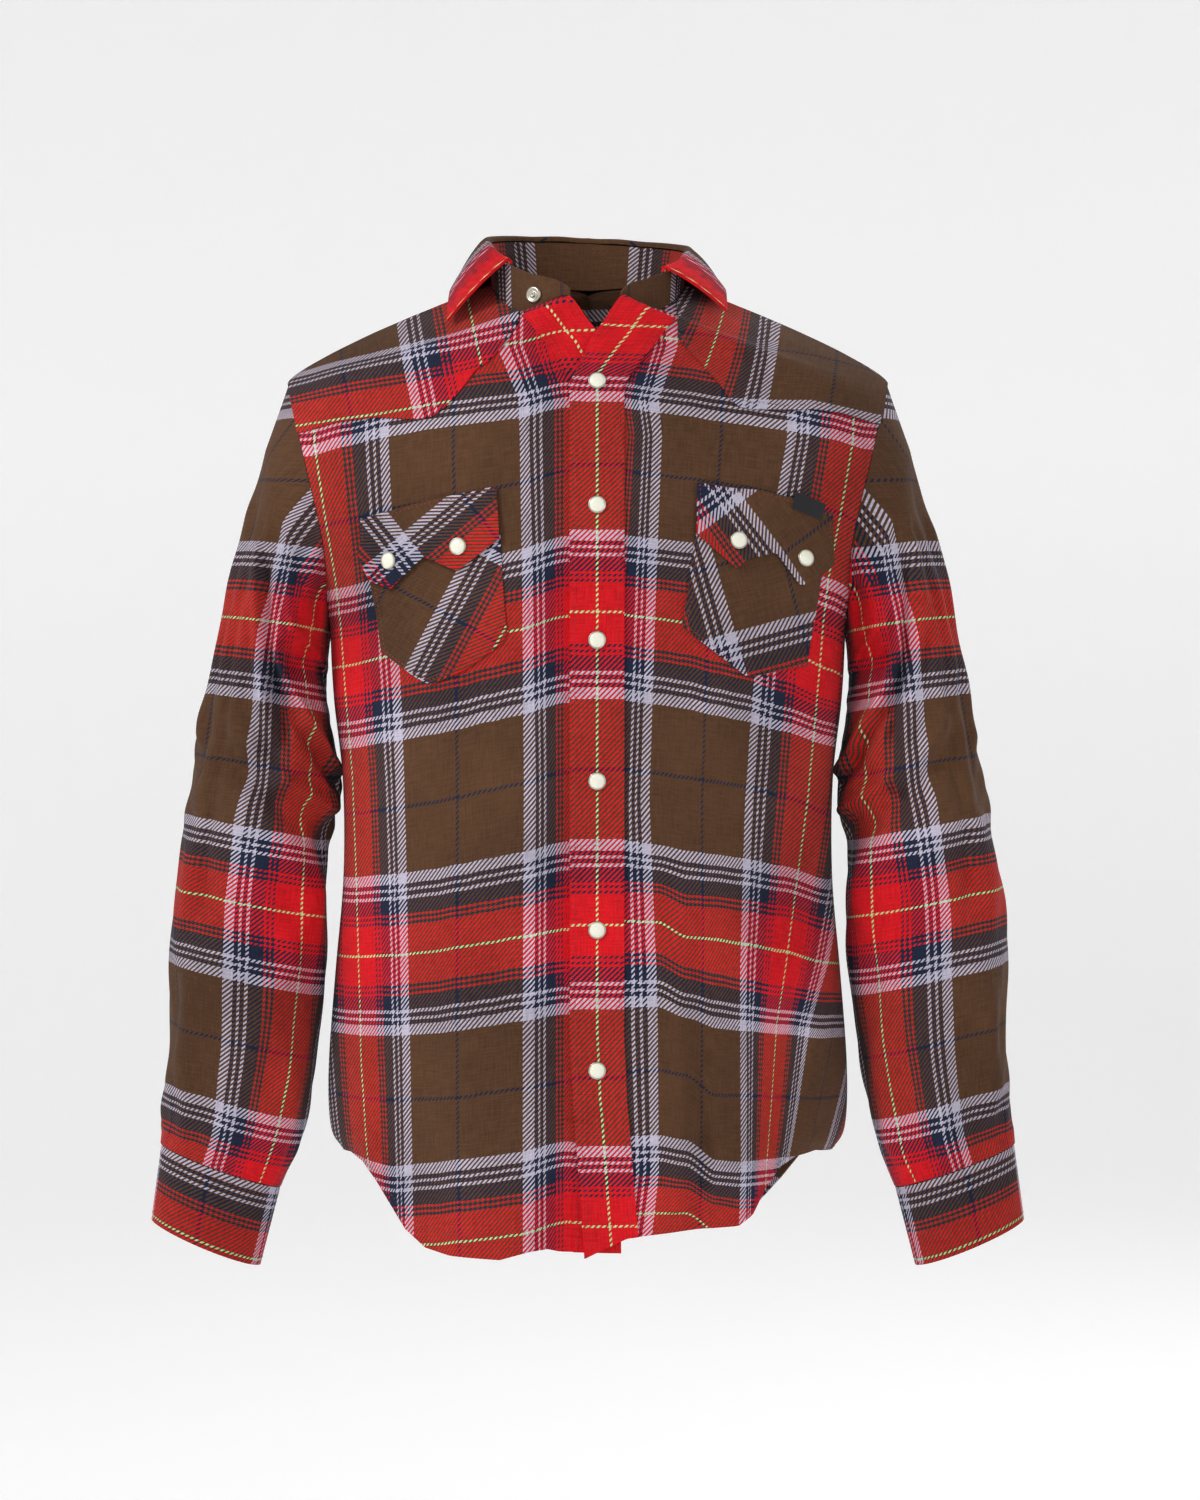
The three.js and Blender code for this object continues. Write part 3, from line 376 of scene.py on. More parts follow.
# Folds of a sleeve as p = turn in degrees, q = row x 20: those of the solids first
SLEEVE_FOLDS = (
    Fold(42, 60, 46, 260, 15, 5),
    Fold(60, 0, 52, 80, 16, 4),
    Fold(95, 124, 165, 172, 20, -9),
    Fold(85, 160, 150, 200, 22, 6),
    Fold(150, 0, 108, 80, 20, -6),
    Fold(215, 130, 280, 170, 24, -7),
    Fold(300, 80, 296, 260, 18, 4),
    Fold(70, 264, 66, 300, 14, -4),
    Fold(120, 260, 112, 300, 14, -4),
    Fold(60, 108, 110, 132, 8, 5.5),
    Fold(60, 30, 94, 104, 6, 5),
    Fold(73, 30, 107, 100, 6, -6),
    Fold(98, 62, 172, 112, 5.5, 6),
    Fold(96, 76, 168, 128, 5.5, -6.5),
    Fold(110, 132, 165, 150, 8, 6.5),
    Fold(66, 132, 130, 164, 8, -5.5),
    Fold(55, 20, 56, 190, 5, -3.4),
    Fold(120, 190, 160, 240, 14, -2.4),
    Fold(25, 150, 60, 190, 12, -2),
    Fold(132, 4, 96, 60, 9, 2.4),
    Fold(165, 20, 128, 70, 9, 2),
    Fold(92, 262, 90, 300, 7, 2.6),
    Fold(40, 268, 42, 300, 8, -2.4),
    Fold(146, 262, 140, 300, 8, 2.4),
    Fold(230, 262, 228, 300, 10, -3),
    Fold(262, 258, 262, 300, 9, 2.6),
    Fold(330, 266, 330, 300, 10, -2.4),
    Fold(16, 4, 22, 120, 7, 4),
    Fold(33, 10, 36, 140, 7, -4),
    Fold(62, 14, 60, 96, 7, 2.6),
    Fold(165, 14, 108, 34, 7, 5),
    Fold(168, 34, 112, 62, 7, -5.5),
    Fold(165, 62, 116, 100, 8, 4.5),
    Fold(160, 96, 104, 150, 8, -3.6),
    Fold(150, 200, 100, 236, 9, 3),
    Fold(60, 196, 30, 236, 9, -3),
)

COLLAR_ROWS = Table(
    ("up", "out", "edgeX", "edgeY"),
    (
        (5, 0, 100, -64),
        (27, 0, 100, -58),
        (27, 1, 101, -36),
        (27, 2.5, 99, -6),
        (29, 4, 85, 33),
        (33, 5, 50, 70),
        (37, 5, 0, 84),
    ),
)
SNAP_HEIGHTS = (-82.6, -171.3, -266, -364.7, -469.3, -568.4)
FLAP_SNAPS = {RIGHT: ((139, -208.4), (89.9, -200)), LEFT: ((105.9, -195.6), (153.9, -207.3))}


@dataclass
class MeshData:
    """Points, faces of four and a plaid place for each point, all in millimetres."""

    points: Array
    faces: Array
    uv: Array
    finish: Array = field(default_factory=lambda: np.zeros(0, int))

    def __post_init__(self) -> None:
        """Give every face the first finish where none is named."""
        if len(self.finish) == 0:
            self.finish = np.zeros(len(self.faces), int)


def joined(parts: Sequence[MeshData]) -> MeshData:
    """Put several meshes into one.

    Args:
        parts: The meshes.

    Returns:
        One mesh with all their points and faces.
    """
    starts = np.cumsum([0] + [len(part.points) for part in parts[:-1]])
    return MeshData(
        np.concatenate([part.points for part in parts]),
        np.concatenate([part.faces + start for part, start in zip(parts, starts)]),
        np.concatenate([part.uv for part in parts]),
        np.concatenate([part.finish for part in parts]),
    )


@dataclass
class Surface:
    """A grid of points with its plaid places and outward normals."""

    points: Array
    uv: Array
    away: Array
    out: Array = field(init=False)
    flip: bool = field(init=False)

    def __post_init__(self) -> None:
        """Work out unit normals as the cross product of the grid's two slopes."""
        down = np.gradient(self.points, axis=0)
        across = np.gradient(self.points, axis=1)
        normals = unit(np.cross(across, down))
        self.flip = bool(np.sum(normals * self.away) < 0)
        self.out = -normals if self.flip else normals

    def lifted(self, distance: float | Array) -> Array:
        """Move the points out along their normals."""
        return self.points + self.out * np.asarray(distance)[..., None]

    def shell(self, lift: float | Array, thickness: float) -> MeshData:
        """Make a closed thin wall between two moved copies of the grid.

        Args:
            lift: How far the inner face lies from the surface.
            thickness: The wall.

        Returns:
            The wall, with its faces outwards.
        """
        rows, columns = self.points.shape[:2]
        outer, inner = self.lifted(lift + thickness), self.lifted(lift)
        index = np.arange(rows * columns).reshape(rows, columns)
        a, b, c, d = index[:-1, :-1], index[:-1, 1:], index[1:, 1:], index[1:, :-1]
        front = np.stack([a, b, c, d], -1).reshape(-1, 4)
        back = front[:, ::-1] + rows * columns
        rim = np.concatenate([index[0, :], index[1:, -1], index[-1, -2::-1], index[-2:0:-1, 0]])
        after = np.roll(rim, -1)
        side = np.stack([after, rim, rim + rows * columns, after + rows * columns], -1)
        faces = np.concatenate([front, back, side])
        if self.flip:
            faces = faces[:, ::-1]
        points = np.concatenate([outer.reshape(-1, 3), inner.reshape(-1, 3)])
        return MeshData(points, faces, np.tile(self.uv.reshape(-1, 2), (2, 1)))


def srgb(code: str) -> tuple[float, float, float, float]:
    """Turn an sRGB hex colour into a linear one.

    Args:
        code: Six hex digits.

    Returns:
        Red, green and blue from 0 to 1 in linear light, and 1 for alpha.
    """
    values = [int(code[i:i + 2], 16) / 255 for i in (0, 2, 4)]
    linear = [v / 12.92 if v <= 0.04045 else ((v + 0.055) / 1.055) ** 2.4 for v in values]
    return (*linear, 1.0)


def add_node(
    tree: bpy.types.NodeTree, kind: str, inputs: dict | None = None, **settings: str,
) -> bpy.types.Node:
    """Add a node to a tree.

    Args:
        tree: The material's tree.
        kind: The node's type.
        inputs: A number, colour or another node's output for each named or numbered input.
        settings: The node's own attributes.

    Returns:
        The new node.
    """
    node = tree.nodes.new(kind)
    for name, value in settings.items():
        setattr(node, name, value)
    for key, value in (inputs or {}).items():
        if isinstance(value, bpy.types.NodeSocket):
            tree.links.new(value, node.inputs[key])
        else:
            node.inputs[key].default_value = value
    return node


def new_material(name: str) -> tuple[bpy.types.Material, bpy.types.Node]:
    """Make a material.

    Args:
        name: Its name.

    Returns:
        The material and its shader node.
    """
    material = bpy.data.materials.new(name)
    material.use_nodes = True
    return material, material.node_tree.nodes["Principled BSDF"]


@dataclass(frozen=True)
class PlaidFlannel:
    """Brushed cotton flannel: soft and matt, a square plaid in a 2/2 twill.

    Stripes are (distance from the middle of a brown block, colour) up to a green line,
    and mirror at both ends. Warp and weft have the same order.
    """

    name: str = "plaid_flannel"
    brown: str = "523826"
    navy: str = "1D2438"
    lavender: str = "B4AEBF"
    red: str = "C9161F"
    green: str = "B4D292"
    # The real twill lines are about 2.5 mm apart, too fine for the render, so they are coarser
    twill: float = 3.8
    # Cells in a millimetre: edges waver every 3 mm, slubs are 1.1 by 17 mm, the nap is 0.7 mm
    waver_scale: float = 0.35
    slub_scale: tuple[float, float] = (0.9, 0.06)
    nap_scale: float = 1.4
    # Cells in a metre: the cloth has faded in areas of about 110 mm
    fade_scale: float = 9.0

    def stripes(self) -> tuple[tuple[float, str], ...]:
        """Return where each stripe starts, in millimetres, and its colour."""
        return (
            (0, self.navy), (0.9, self.brown), (47.5, self.lavender), (55.6, self.navy),
            (58.9, self.lavender), (61.3, self.navy), (64.6, self.lavender), (67.1, self.navy),
            (77.8, self.red), (79.7, self.navy), (81.8, self.red), (83.6, self.navy), (85.6, self.red),
            (106.6, self.green),
        )

    def yarns(self, tree: bpy.types.NodeTree, place: bpy.types.NodeSocket) -> bpy.types.NodeSocket:
        """Colour of one set of yarns: its place, mirrored every half repeat, read in a ramp.

        Args:
            tree: The material's tree.
            place: The plaid place across the yarns.

        Returns:
            The colour's socket.
        """
        mirrored = add_node(tree, "ShaderNodeMath", {0: place, 1: HALF_REPEAT}, operation="PINGPONG")
        share = add_node(tree, "ShaderNodeMath", {0: mirrored.outputs[0], 1: HALF_REPEAT}, operation="DIVIDE")
        ramp = add_node(tree, "ShaderNodeValToRGB", {0: share.outputs[0]})
        ramp.color_ramp.interpolation = "CONSTANT"
        stops = ramp.color_ramp.elements
        for k, (start, code) in enumerate(self.stripes()):
            stop = stops[k] if k < 2 else stops.new(start / HALF_REPEAT)
            stop.position = start / HALF_REPEAT
            stop.color = srgb(code)
        return ramp.outputs[0]

    def build(self) -> bpy.types.Material:
        """Make the material: yarn colours mixed by the twill, then slubs, fading and nap.

        Returns:
            The material.
        """
        material, shader = new_material(self.name)
        tree = material.node_tree
        place = add_node(tree, "ShaderNodeUVMap", uv_map=UV_NAME)
        # The brushed surface makes the stripes' edges waver a little
        waver = add_node(
            tree, "ShaderNodeTexNoise", {"Vector": place.outputs[0], "Scale": self.waver_scale, "Detail": 2},
        )
        shift = add_node(
            tree, "ShaderNodeVectorMath", {0: waver.outputs[1], 1: (0.5, 0.5, 0.5)}, operation="SUBTRACT",
        )
        small = add_node(tree, "ShaderNodeVectorMath", {0: shift.outputs[0], "Scale": 0.7}, operation="SCALE")
        moved = add_node(tree, "ShaderNodeVectorMath", {0: place.outputs[0], 1: small.outputs[0]})
        axes = add_node(tree, "ShaderNodeSeparateXYZ", {0: moved.outputs[0]})
        warp = self.yarns(tree, axes.outputs[0])
        weft = self.yarns(tree, axes.outputs[1])
        straight = add_node(tree, "ShaderNodeSeparateXYZ", {0: place.outputs[0]})
        slope = add_node(tree, "ShaderNodeMath", {0: straight.outputs[0], 1: straight.outputs[1]})
        ridge = add_node(
            tree, "ShaderNodeMath", {0: slope.outputs[0], 1: self.twill / 2}, operation="PINGPONG",
        )
        share = add_node(
            tree, "ShaderNodeMapRange",
            {0: ridge.outputs[0], 1: self.twill * 0.2, 2: self.twill * 0.27}, interpolation_type="SMOOTHSTEP",
        )
        woven = add_node(tree, "ShaderNodeMix", {0: share.outputs[0], 6: warp, 7: weft}, data_type="RGBA")
        # Slubs run along the yarns: noise drawn out up and across the cloth
        slubs = []
        for scale in (self.slub_scale, self.slub_scale[::-1]):
            drawn = add_node(
                tree, "ShaderNodeVectorMath", {0: place.outputs[0], 1: (*scale, 1)}, operation="MULTIPLY",
            )
            slubs.append(add_node(
                tree, "ShaderNodeTexNoise",
                {"Vector": drawn.outputs[0], "Scale": 1.0, "Detail": 3, "Roughness": 0.6},
            ))
        both = add_node(tree, "ShaderNodeMath", {0: slubs[0].outputs[0], 1: slubs[1].outputs[0]})
        body = add_node(tree, "ShaderNodeTexCoord")
        faded = add_node(
            tree, "ShaderNodeTexNoise",
            {"Vector": body.outputs["Object"], "Scale": self.fade_scale, "Detail": 4},
        )
        tone = add_node(tree, "ShaderNodeMath", {0: faded.outputs[0], 1: both.outputs[0]})
        value = add_node(tree, "ShaderNodeMapRange", {0: tone.outputs[0], 1: 1.2, 2: 1.8, 3: 0.72, 4: 1.28})
        tinted = add_node(
            tree, "ShaderNodeHueSaturation", {"Color": woven.outputs[2], "Value": value.outputs[0]},
        )
        tree.links.new(tinted.outputs[0], shader.inputs["Base Color"])
        # Twill ridges and nap stand a tenth of a millimetre or so
        nap = add_node(
            tree, "ShaderNodeTexNoise",
            {"Vector": place.outputs[0], "Scale": self.nap_scale, "Detail": 5, "Roughness": 0.7},
        )
        height = add_node(tree, "ShaderNodeMath", {0: share.outputs[0], 1: nap.outputs[0]})
        bump = add_node(
            tree, "ShaderNodeBump", {"Strength": 0.35, "Distance": 0.0004, "Height": height.outputs[0]},
        )
        tree.links.new(bump.outputs[0], shader.inputs["Normal"])
        shader.inputs["Roughness"].default_value = 0.95
        shader.inputs["Specular IOR Level"].default_value = 0.08
        shader.inputs["Sheen Weight"].default_value = 0.04
        shader.inputs["Sheen Roughness"].default_value = 0.6
        return material


@dataclass(frozen=True)
class PearlPlastic:
    """Pearl snap cap: glossy ivory plastic with faint swirls under the gloss."""

    name: str = "pearl_plastic"
    light: str = "F6F5E6"
    deep: str = "DAD9C4"
    # Cells in a metre: swirls of about 4 mm, a third as long along Z
    swirl_scale: float = 260.0

    def build(self) -> bpy.types.Material:
        """Make the material: two ivories mixed by stretched noise, under a clear coat.

        Returns:
            The material.
        """
        material, shader = new_material(self.name)
        tree = material.node_tree
        place = add_node(tree, "ShaderNodeTexCoord")
        long = add_node(
            tree, "ShaderNodeVectorMath", {0: place.outputs["Object"], 1: (1, 1, 3)}, operation="MULTIPLY",
        )
        swirl = add_node(
            tree, "ShaderNodeTexNoise",
            {"Vector": long.outputs[0], "Scale": self.swirl_scale, "Distortion": 1.5},
        )
        mixed = add_node(
            tree, "ShaderNodeMix",
            {0: swirl.outputs[0], 6: srgb(self.light), 7: srgb(self.deep)}, data_type="RGBA",
        )
        tree.links.new(mixed.outputs[2], shader.inputs["Base Color"])
        shader.inputs["Roughness"].default_value = 0.28
        shader.inputs["Coat Weight"].default_value = 0.6
        shader.inputs["Coat Roughness"].default_value = 0.12
        shader.inputs["Subsurface Weight"].default_value = 0.1
        shader.inputs["Subsurface Radius"].default_value = (0.002, 0.002, 0.0015)
        return material


@dataclass(frozen=True)
class NickelSteel:
    """Nickel-plated steel of the snaps' rims, finely scratched."""

    name: str = "nickel_steel"
    colour: str = "B8B3A6"
    # Cells in a metre: scratches about 1 mm apart
    scratch_scale: float = 900.0

    def build(self) -> bpy.types.Material:
        """Make the material: a metal whose roughness and bump follow fine noise.

        Returns:
            The material.
        """
        material, shader = new_material(self.name)
        tree = material.node_tree
        place = add_node(tree, "ShaderNodeTexCoord")
        fine = add_node(
            tree, "ShaderNodeTexNoise",
            {"Vector": place.outputs["Object"], "Scale": self.scratch_scale, "Detail": 3},
        )
        rough = add_node(tree, "ShaderNodeMapRange", {0: fine.outputs[0], 3: 0.22, 4: 0.45})
        tree.links.new(rough.outputs[0], shader.inputs["Roughness"])
        bump = add_node(
            tree, "ShaderNodeBump", {"Strength": 0.1, "Distance": 0.0001, "Height": fine.outputs[0]},
        )
        tree.links.new(bump.outputs[0], shader.inputs["Normal"])
        shader.inputs["Base Color"].default_value = srgb(self.colour)
        shader.inputs["Metallic"].default_value = 1.0
        return material


@dataclass(frozen=True)
class YarnFinish:
    """Cotton sewing thread or a woven tape: one dyed colour, matt, with its fine ribs."""

    name: str
    colour: str
    rib: float = 0.5
    # Cells in a millimetre: the dye is mottled every 0.8 mm
    mottle_scale: float = 1.2

    def build(self) -> bpy.types.Material:
        """Make the material: ribs across and a mottled tone, rough.

        Returns:
            The material.
        """
        material, shader = new_material(self.name)
        tree = material.node_tree
        place = add_node(tree, "ShaderNodeUVMap", uv_map=UV_NAME)
        axes = add_node(tree, "ShaderNodeSeparateXYZ", {0: place.outputs[0]})
        rib = add_node(tree, "ShaderNodeMath", {0: axes.outputs[1], 1: self.rib / 2}, operation="PINGPONG")
        height = add_node(tree, "ShaderNodeMath", {0: rib.outputs[0], 1: 2 / self.rib}, operation="MULTIPLY")
        noise = add_node(
            tree, "ShaderNodeTexNoise", {"Vector": place.outputs[0], "Scale": self.mottle_scale, "Detail": 3},
        )
        value = add_node(tree, "ShaderNodeMapRange", {0: noise.outputs[0], 3: 0.7, 4: 1.3})
        tinted = add_node(
            tree, "ShaderNodeHueSaturation", {"Color": srgb(self.colour), "Value": value.outputs[0]},
        )
        tree.links.new(tinted.outputs[0], shader.inputs["Base Color"])
        bump = add_node(
            tree, "ShaderNodeBump", {"Strength": 0.4, "Distance": 0.0002, "Height": height.outputs[0]},
        )
        tree.links.new(bump.outputs[0], shader.inputs["Normal"])
        shader.inputs["Roughness"].default_value = 0.9
        shader.inputs["Sheen Weight"].default_value = 0.1
        return material


def new_object(
    name: str, data: MeshData, finishes: Sequence[bpy.types.Material], crease: float = 50,
) -> bpy.types.Object:
    """Make an object of a mesh in millimetres.

    Args:
        name: The object's name.
        data: Its mesh.
        finishes: The materials that the mesh's finish numbers name.
        crease: The angle in degrees above which an edge stays sharp.

    Returns:
        The object, at the origin and unscaled.
    """
    mesh = bpy.data.meshes.new(name)
    mesh.from_pydata((data.points * MM).tolist(), [], data.faces.tolist())
    layer = mesh.uv_layers.new(name=UV_NAME)
    layer.data.foreach_set("uv", data.uv[data.faces].reshape(-1).astype(np.float32))
    mesh.polygons.foreach_set("use_smooth", np.ones(len(data.faces), bool))
    for finish in finishes:
        mesh.materials.append(finish)
    mesh.polygons.foreach_set("material_index", data.finish.astype(np.int32))
    mesh.update()
    mesh.set_sharp_from_angle(angle=math.radians(crease))
    obj = bpy.data.objects.new(name, mesh)
    bpy.context.scene.collection.objects.link(obj)
    return obj


def weld(obj: bpy.types.Object, distance: float = 1e-6) -> None:
    """Join points of an object that lie at one place.

    Args:
        obj: The object.
        distance: How close they lie, in metres.
    """
    work = bmesh.new()
    work.from_mesh(obj.data)
    bmesh.ops.remove_doubles(work, verts=work.verts, dist=distance)
    work.to_mesh(obj.data)
    work.free()


@dataclass
class Finishes:
    """All materials of the shirt."""

    flannel: bpy.types.Material
    pearl: bpy.types.Material
    steel: bpy.types.Material
    thread: bpy.types.Material
    tab: bpy.types.Material

    @staticmethod
    def make() -> "Finishes":
        """Build each finish once."""
        return Finishes(
            PlaidFlannel().build(), PearlPlastic().build(), NickelSteel().build(),
            YarnFinish("cotton_thread", "8E2A2C").build(), YarnFinish("woven_tape", "14151B", 0.7).build(),
        )


@dataclass
class Half:
    """A front or back half: rows that turn through part of an ellipse and fall on the way."""

    rows: Table
    side: int
    hem: Table
    folds: tuple[Fold, ...]
    edge: Table | None = None
    band: float = 0.0
    ripple: tuple[float, float] = (1.5, 0.7)

    @property
    def facing(self) -> int:
        """-1 on a front, 1 on a back."""
        return int(np.sign(self.rows.column("inY")[1]))

    def inner_x(self, row: Array) -> Array:
        """Distance of a row's inner end, which the front edge or the neck sets.

        Args:
            row: Places between the table's rows.

        Returns:
            Distances from the centre plane.
        """
        start = self.edge.column("x")[-1] if self.edge else 0.0
        neck = np.concatenate([[start], self.rows.column("inX")[NECK_ROW + 1:]])
        below = self.edge.linear("row", "x", row) if self.edge else np.zeros_like(row)
        return np.where(row < NECK_ROW, below, smooth_run(neck, np.maximum(row - NECK_ROW, 0)))

    def crown_x(self, row: Array) -> Array:
        """Distance at which a row is foremost: the snaps' line, and the neck above it.

        Args:
            row: Places between the table's rows.

        Returns:
            Distances from the centre plane.
        """
        if self.edge is None:
            return self.inner_x(row)
        centre = self.side * PLACKET_X
        return centre + (self.inner_x(np.maximum(row, NECK_V_ROW)) - centre) * ease(row - NECK_V_ROW)

    def outer_x(self, row: Array) -> Array:
        """Distance of the side seam or armhole."""
        return self.rows.along("outX", row)

    def hem_line(self, share: Array) -> Array:
        """Height of row 0 before the hem's own curve."""
        low, high, fall = (self.rows.column(c)[0] for c in ("inZ", "outZ", "fall"))
        return low + (high - low) * (1 - (1 - share) ** fall)

    def share(self, row: Array, x: Array) -> Array:
        """Share of the way from the crown to the side."""
        crown = self.crown_x(row)
        return np.minimum(1, np.abs(x - crown) / (self.outer_x(row) - crown))

    def point(self, row: Array, x: Array) -> Array:
        """Point of a row at distance x: an ellipse in plan, a falling curve in height.

        Depth goes from the inner to the outer one with the ellipse's bend, and height
        with 1 - (1 - share) to the power of fall. Folds move it out, and the right
        front sinks under the left one.

        Args:
            row: Places between the table's rows.
            x: Distances from the centre plane.

        Returns:
            Points, with the last axis X, Y, Z.
        """
        row, x = np.broadcast_arrays(np.asarray(row, float), np.asarray(x, float))
        share = self.share(row, x)
        turn = self.rows.along("round", row) * math.pi / 2
        angle = np.arcsin(np.minimum(1, share * np.sin(turn)))
        bend = (1 - np.cos(angle)) / (1 - np.cos(turn))
        y = self.rows.along("inY", row)
        y = y + (self.rows.along("outY", row) - y) * bend
        z = self.rows.along("inZ", row)
        z = z + (self.rows.along("outZ", row) - z) * (1 - (1 - share) ** self.rows.along("fall", row))
        z = z + np.where(row < 1, (self.hem.linear("x", "z", x) - self.hem_line(share)) * (1 - row), 0)
        clear = ease((1 - share) * 6)
        for fold in self.folds:
            y = y + self.facing * clear * fold.at(x, z)
        slow = np.sin(x / 17 + z / 71 + 1.3 * np.sin(z / 57)) * np.sin(z / 39 - x / 61)
        quick = np.sin(x / 8.5 - z / 33 + 1.6 * np.sin(z / 41 + self.side)) * np.sin(z / 21 + x / 27)
        y = y + self.facing * clear * (self.ripple[0] * slow + self.ripple[1] * quick) * ease((x - 30) / 40)
        if self.side == RIGHT and self.edge is not None:
            overlap = 1 - ease((row - NECK_V_ROW - 0.4) / 0.6)
            y = y + SINK * overlap * (1 - ease((x - UNDERLAP) / SINK_EASE))
        seam = ease(row - TOP_ROW + 1) + ease((share - 0.9) * 10)
        y = y + self.facing * SEAM * np.minimum(1, seam) / 2
        return np.stack([self.side * x, y, z], -1)

    def row_at(self, x: Array, z: Array) -> Array:
        """Row at which distance x has height z."""
        return halved(np.zeros_like(x), np.full_like(x, TOP_ROW), lambda row: self.point(row, x)[..., 2] < z)

    def row_at_depth(self, x: Array, y: Array) -> Array:
        """Row above the neck's V at which distance x has depth y.

        Args:
            x: Distances from the centre plane.
            y: Depths.

        Returns:
            Places between the table's rows.
        """
        return halved(
            np.full_like(x, NECK_V_ROW - 1.5), np.full_like(x, TOP_ROW),
            lambda row: self.facing * (self.point(row, x)[..., 1] - y) > 0,
        )

    def columns(self, row: Array, count: int, start: float) -> Array:
        """Distances from start inside a row's inner end to its side, even turns of the ellipse.

        Args:
            row: Places between the table's rows.
            count: How many distances.
            start: How far inside the inner end they begin.

        Returns:
            Distances from the centre plane, crown + width * sin(angle) / sin(turn).
        """
        inner = self.inner_x(row) + start
        crown = self.crown_x(row)
        width = self.outer_x(row) - crown
        turn = self.rows.along("round", row) * math.pi / 2
        first = np.arcsin(np.clip((inner - crown) / width, -1, 1) * np.sin(turn))
        share = np.linspace(0, 1, count)
        angle = first + (turn - first) * share
        x = crown + width * np.sin(angle) / np.sin(turn)
        return np.maximum(x, inner)

    def yoke(
        self, outline: Table, start: float, between: tuple[float, float], columns: int, rows: int,
    ) -> tuple[Array, Array, Array]:
        """Grid of a yoke: each column rises from the yoke's outline to the shoulder seam.

        Args:
            outline: Its lower edge in the front view.
            start: The least distance from the centre plane.
            between: Rows that its outline lies between.
            columns: How many columns from the neck to the armhole.
            rows: How many rows from the outline to the seam.

        Returns:
            Rows, distances and points of the grid.
        """
        share = np.linspace(0, 1, columns)

        def across(row: Array) -> Array:
            """Distances of a row's columns."""
            inner = np.maximum(start, self.inner_x(row))
            return inner + (self.outer_x(row) - inner) * share

        def under(row: Array) -> Array:
            """Say where a row is still under the outline."""
            x = across(row)
            return self.point(row, x)[..., 2] < outline.linear("x", "z", x)

        foot = halved(np.full_like(share, between[0]), np.full_like(share, between[1]), under)
        row = foot + (TOP_ROW - foot) * np.linspace(0, 1, rows)[:, None]
        x = across(row)
        return row, x, self.point(row, x)


@dataclass(frozen=True)
class WarpChart:
    """Where the plaid's upright lines lie on a panel, at a few heights.

    places are plaid places in millimetres, and each line of the chart gives a height
    and the distances from the centre plane that have those places there.
    """

    places: tuple[float, ...]
    lines: tuple[tuple[float, tuple[float, ...]], ...]

    def at(self, x: Array, z: Array) -> Array:
        """Plaid place at a distance and height, straight between the chart's numbers.

        Args:
            x: Distances from the centre plane.
            z: Heights.

        Returns:
            The warp's plaid place at each point.
        """
        heights = np.array([line[0] for line in self.lines])
        k = np.clip(np.searchsorted(heights, z) - 1, 0, len(heights) - 2)
        f = np.clip((z - heights[k]) / (heights[k + 1] - heights[k]), 0, 1)
        table = np.array([line[1] for line in self.lines])
        marks = [table[k, j] + (table[k + 1, j] - table[k, j]) * f for j in range(table.shape[1])]
        slope = (self.places[1] - self.places[0]) / (marks[1] - marks[0])
        place = self.places[0] + (x - marks[0]) * slope
        for j in range(1, len(marks)):
            if j + 1 < len(marks):
                slope = (self.places[j + 1] - self.places[j]) / (marks[j + 1] - marks[j])
            place = np.where(x > marks[j], self.places[j] + (x - marks[j]) * slope, place)
        return place


@dataclass(frozen=True)
class WeftChart:
    """Where the plaid's crosswise lines lie on a front.

    Each line of the chart gives a height and how far the weft has dropped there at the
    distances, against the green lines' heights at the centre.
    """

    distances: tuple[float, ...]
    lines: tuple[tuple[float, tuple[float, ...]], ...]
    greens: tuple[float, ...] = (-890, -677, -464, -247, -44.5, 158)

    def at(self, x: Array, z: Array) -> Array:
        """Plaid place, growing downwards: the drop runs smoothly over distance and height.

        Args:
            x: Distances from the centre plane.
            z: Heights.

        Returns:
            The weft's plaid place at each point.
        """
        heights = np.array([line[0] for line in self.lines])
        k = np.clip(np.searchsorted(heights, z) - 1, 0, len(heights) - 2)
        f = ease((z - heights[k]) / (heights[k + 1] - heights[k]))
        j = np.clip(np.searchsorted(self.distances, x) - 1, 0, len(self.distances) - 2)
        near, far = np.array(self.distances)[j], np.array(self.distances)[j + 1]
        g = ease((x - near) / (far - near)) * 0.5 + np.clip((x - near) / (far - near), 0, 1) * 0.5
        drops = np.array([line[1] for line in self.lines])
        low = drops[k, j] * (1 - g) + drops[k, j + 1] * g
        high = drops[k + 1, j] * (1 - g) + drops[k + 1, j + 1] * g
        return np.interp(z + low * (1 - f) + high * f, self.greens, HALF_REPEAT * np.arange(9, -3, -2.0))


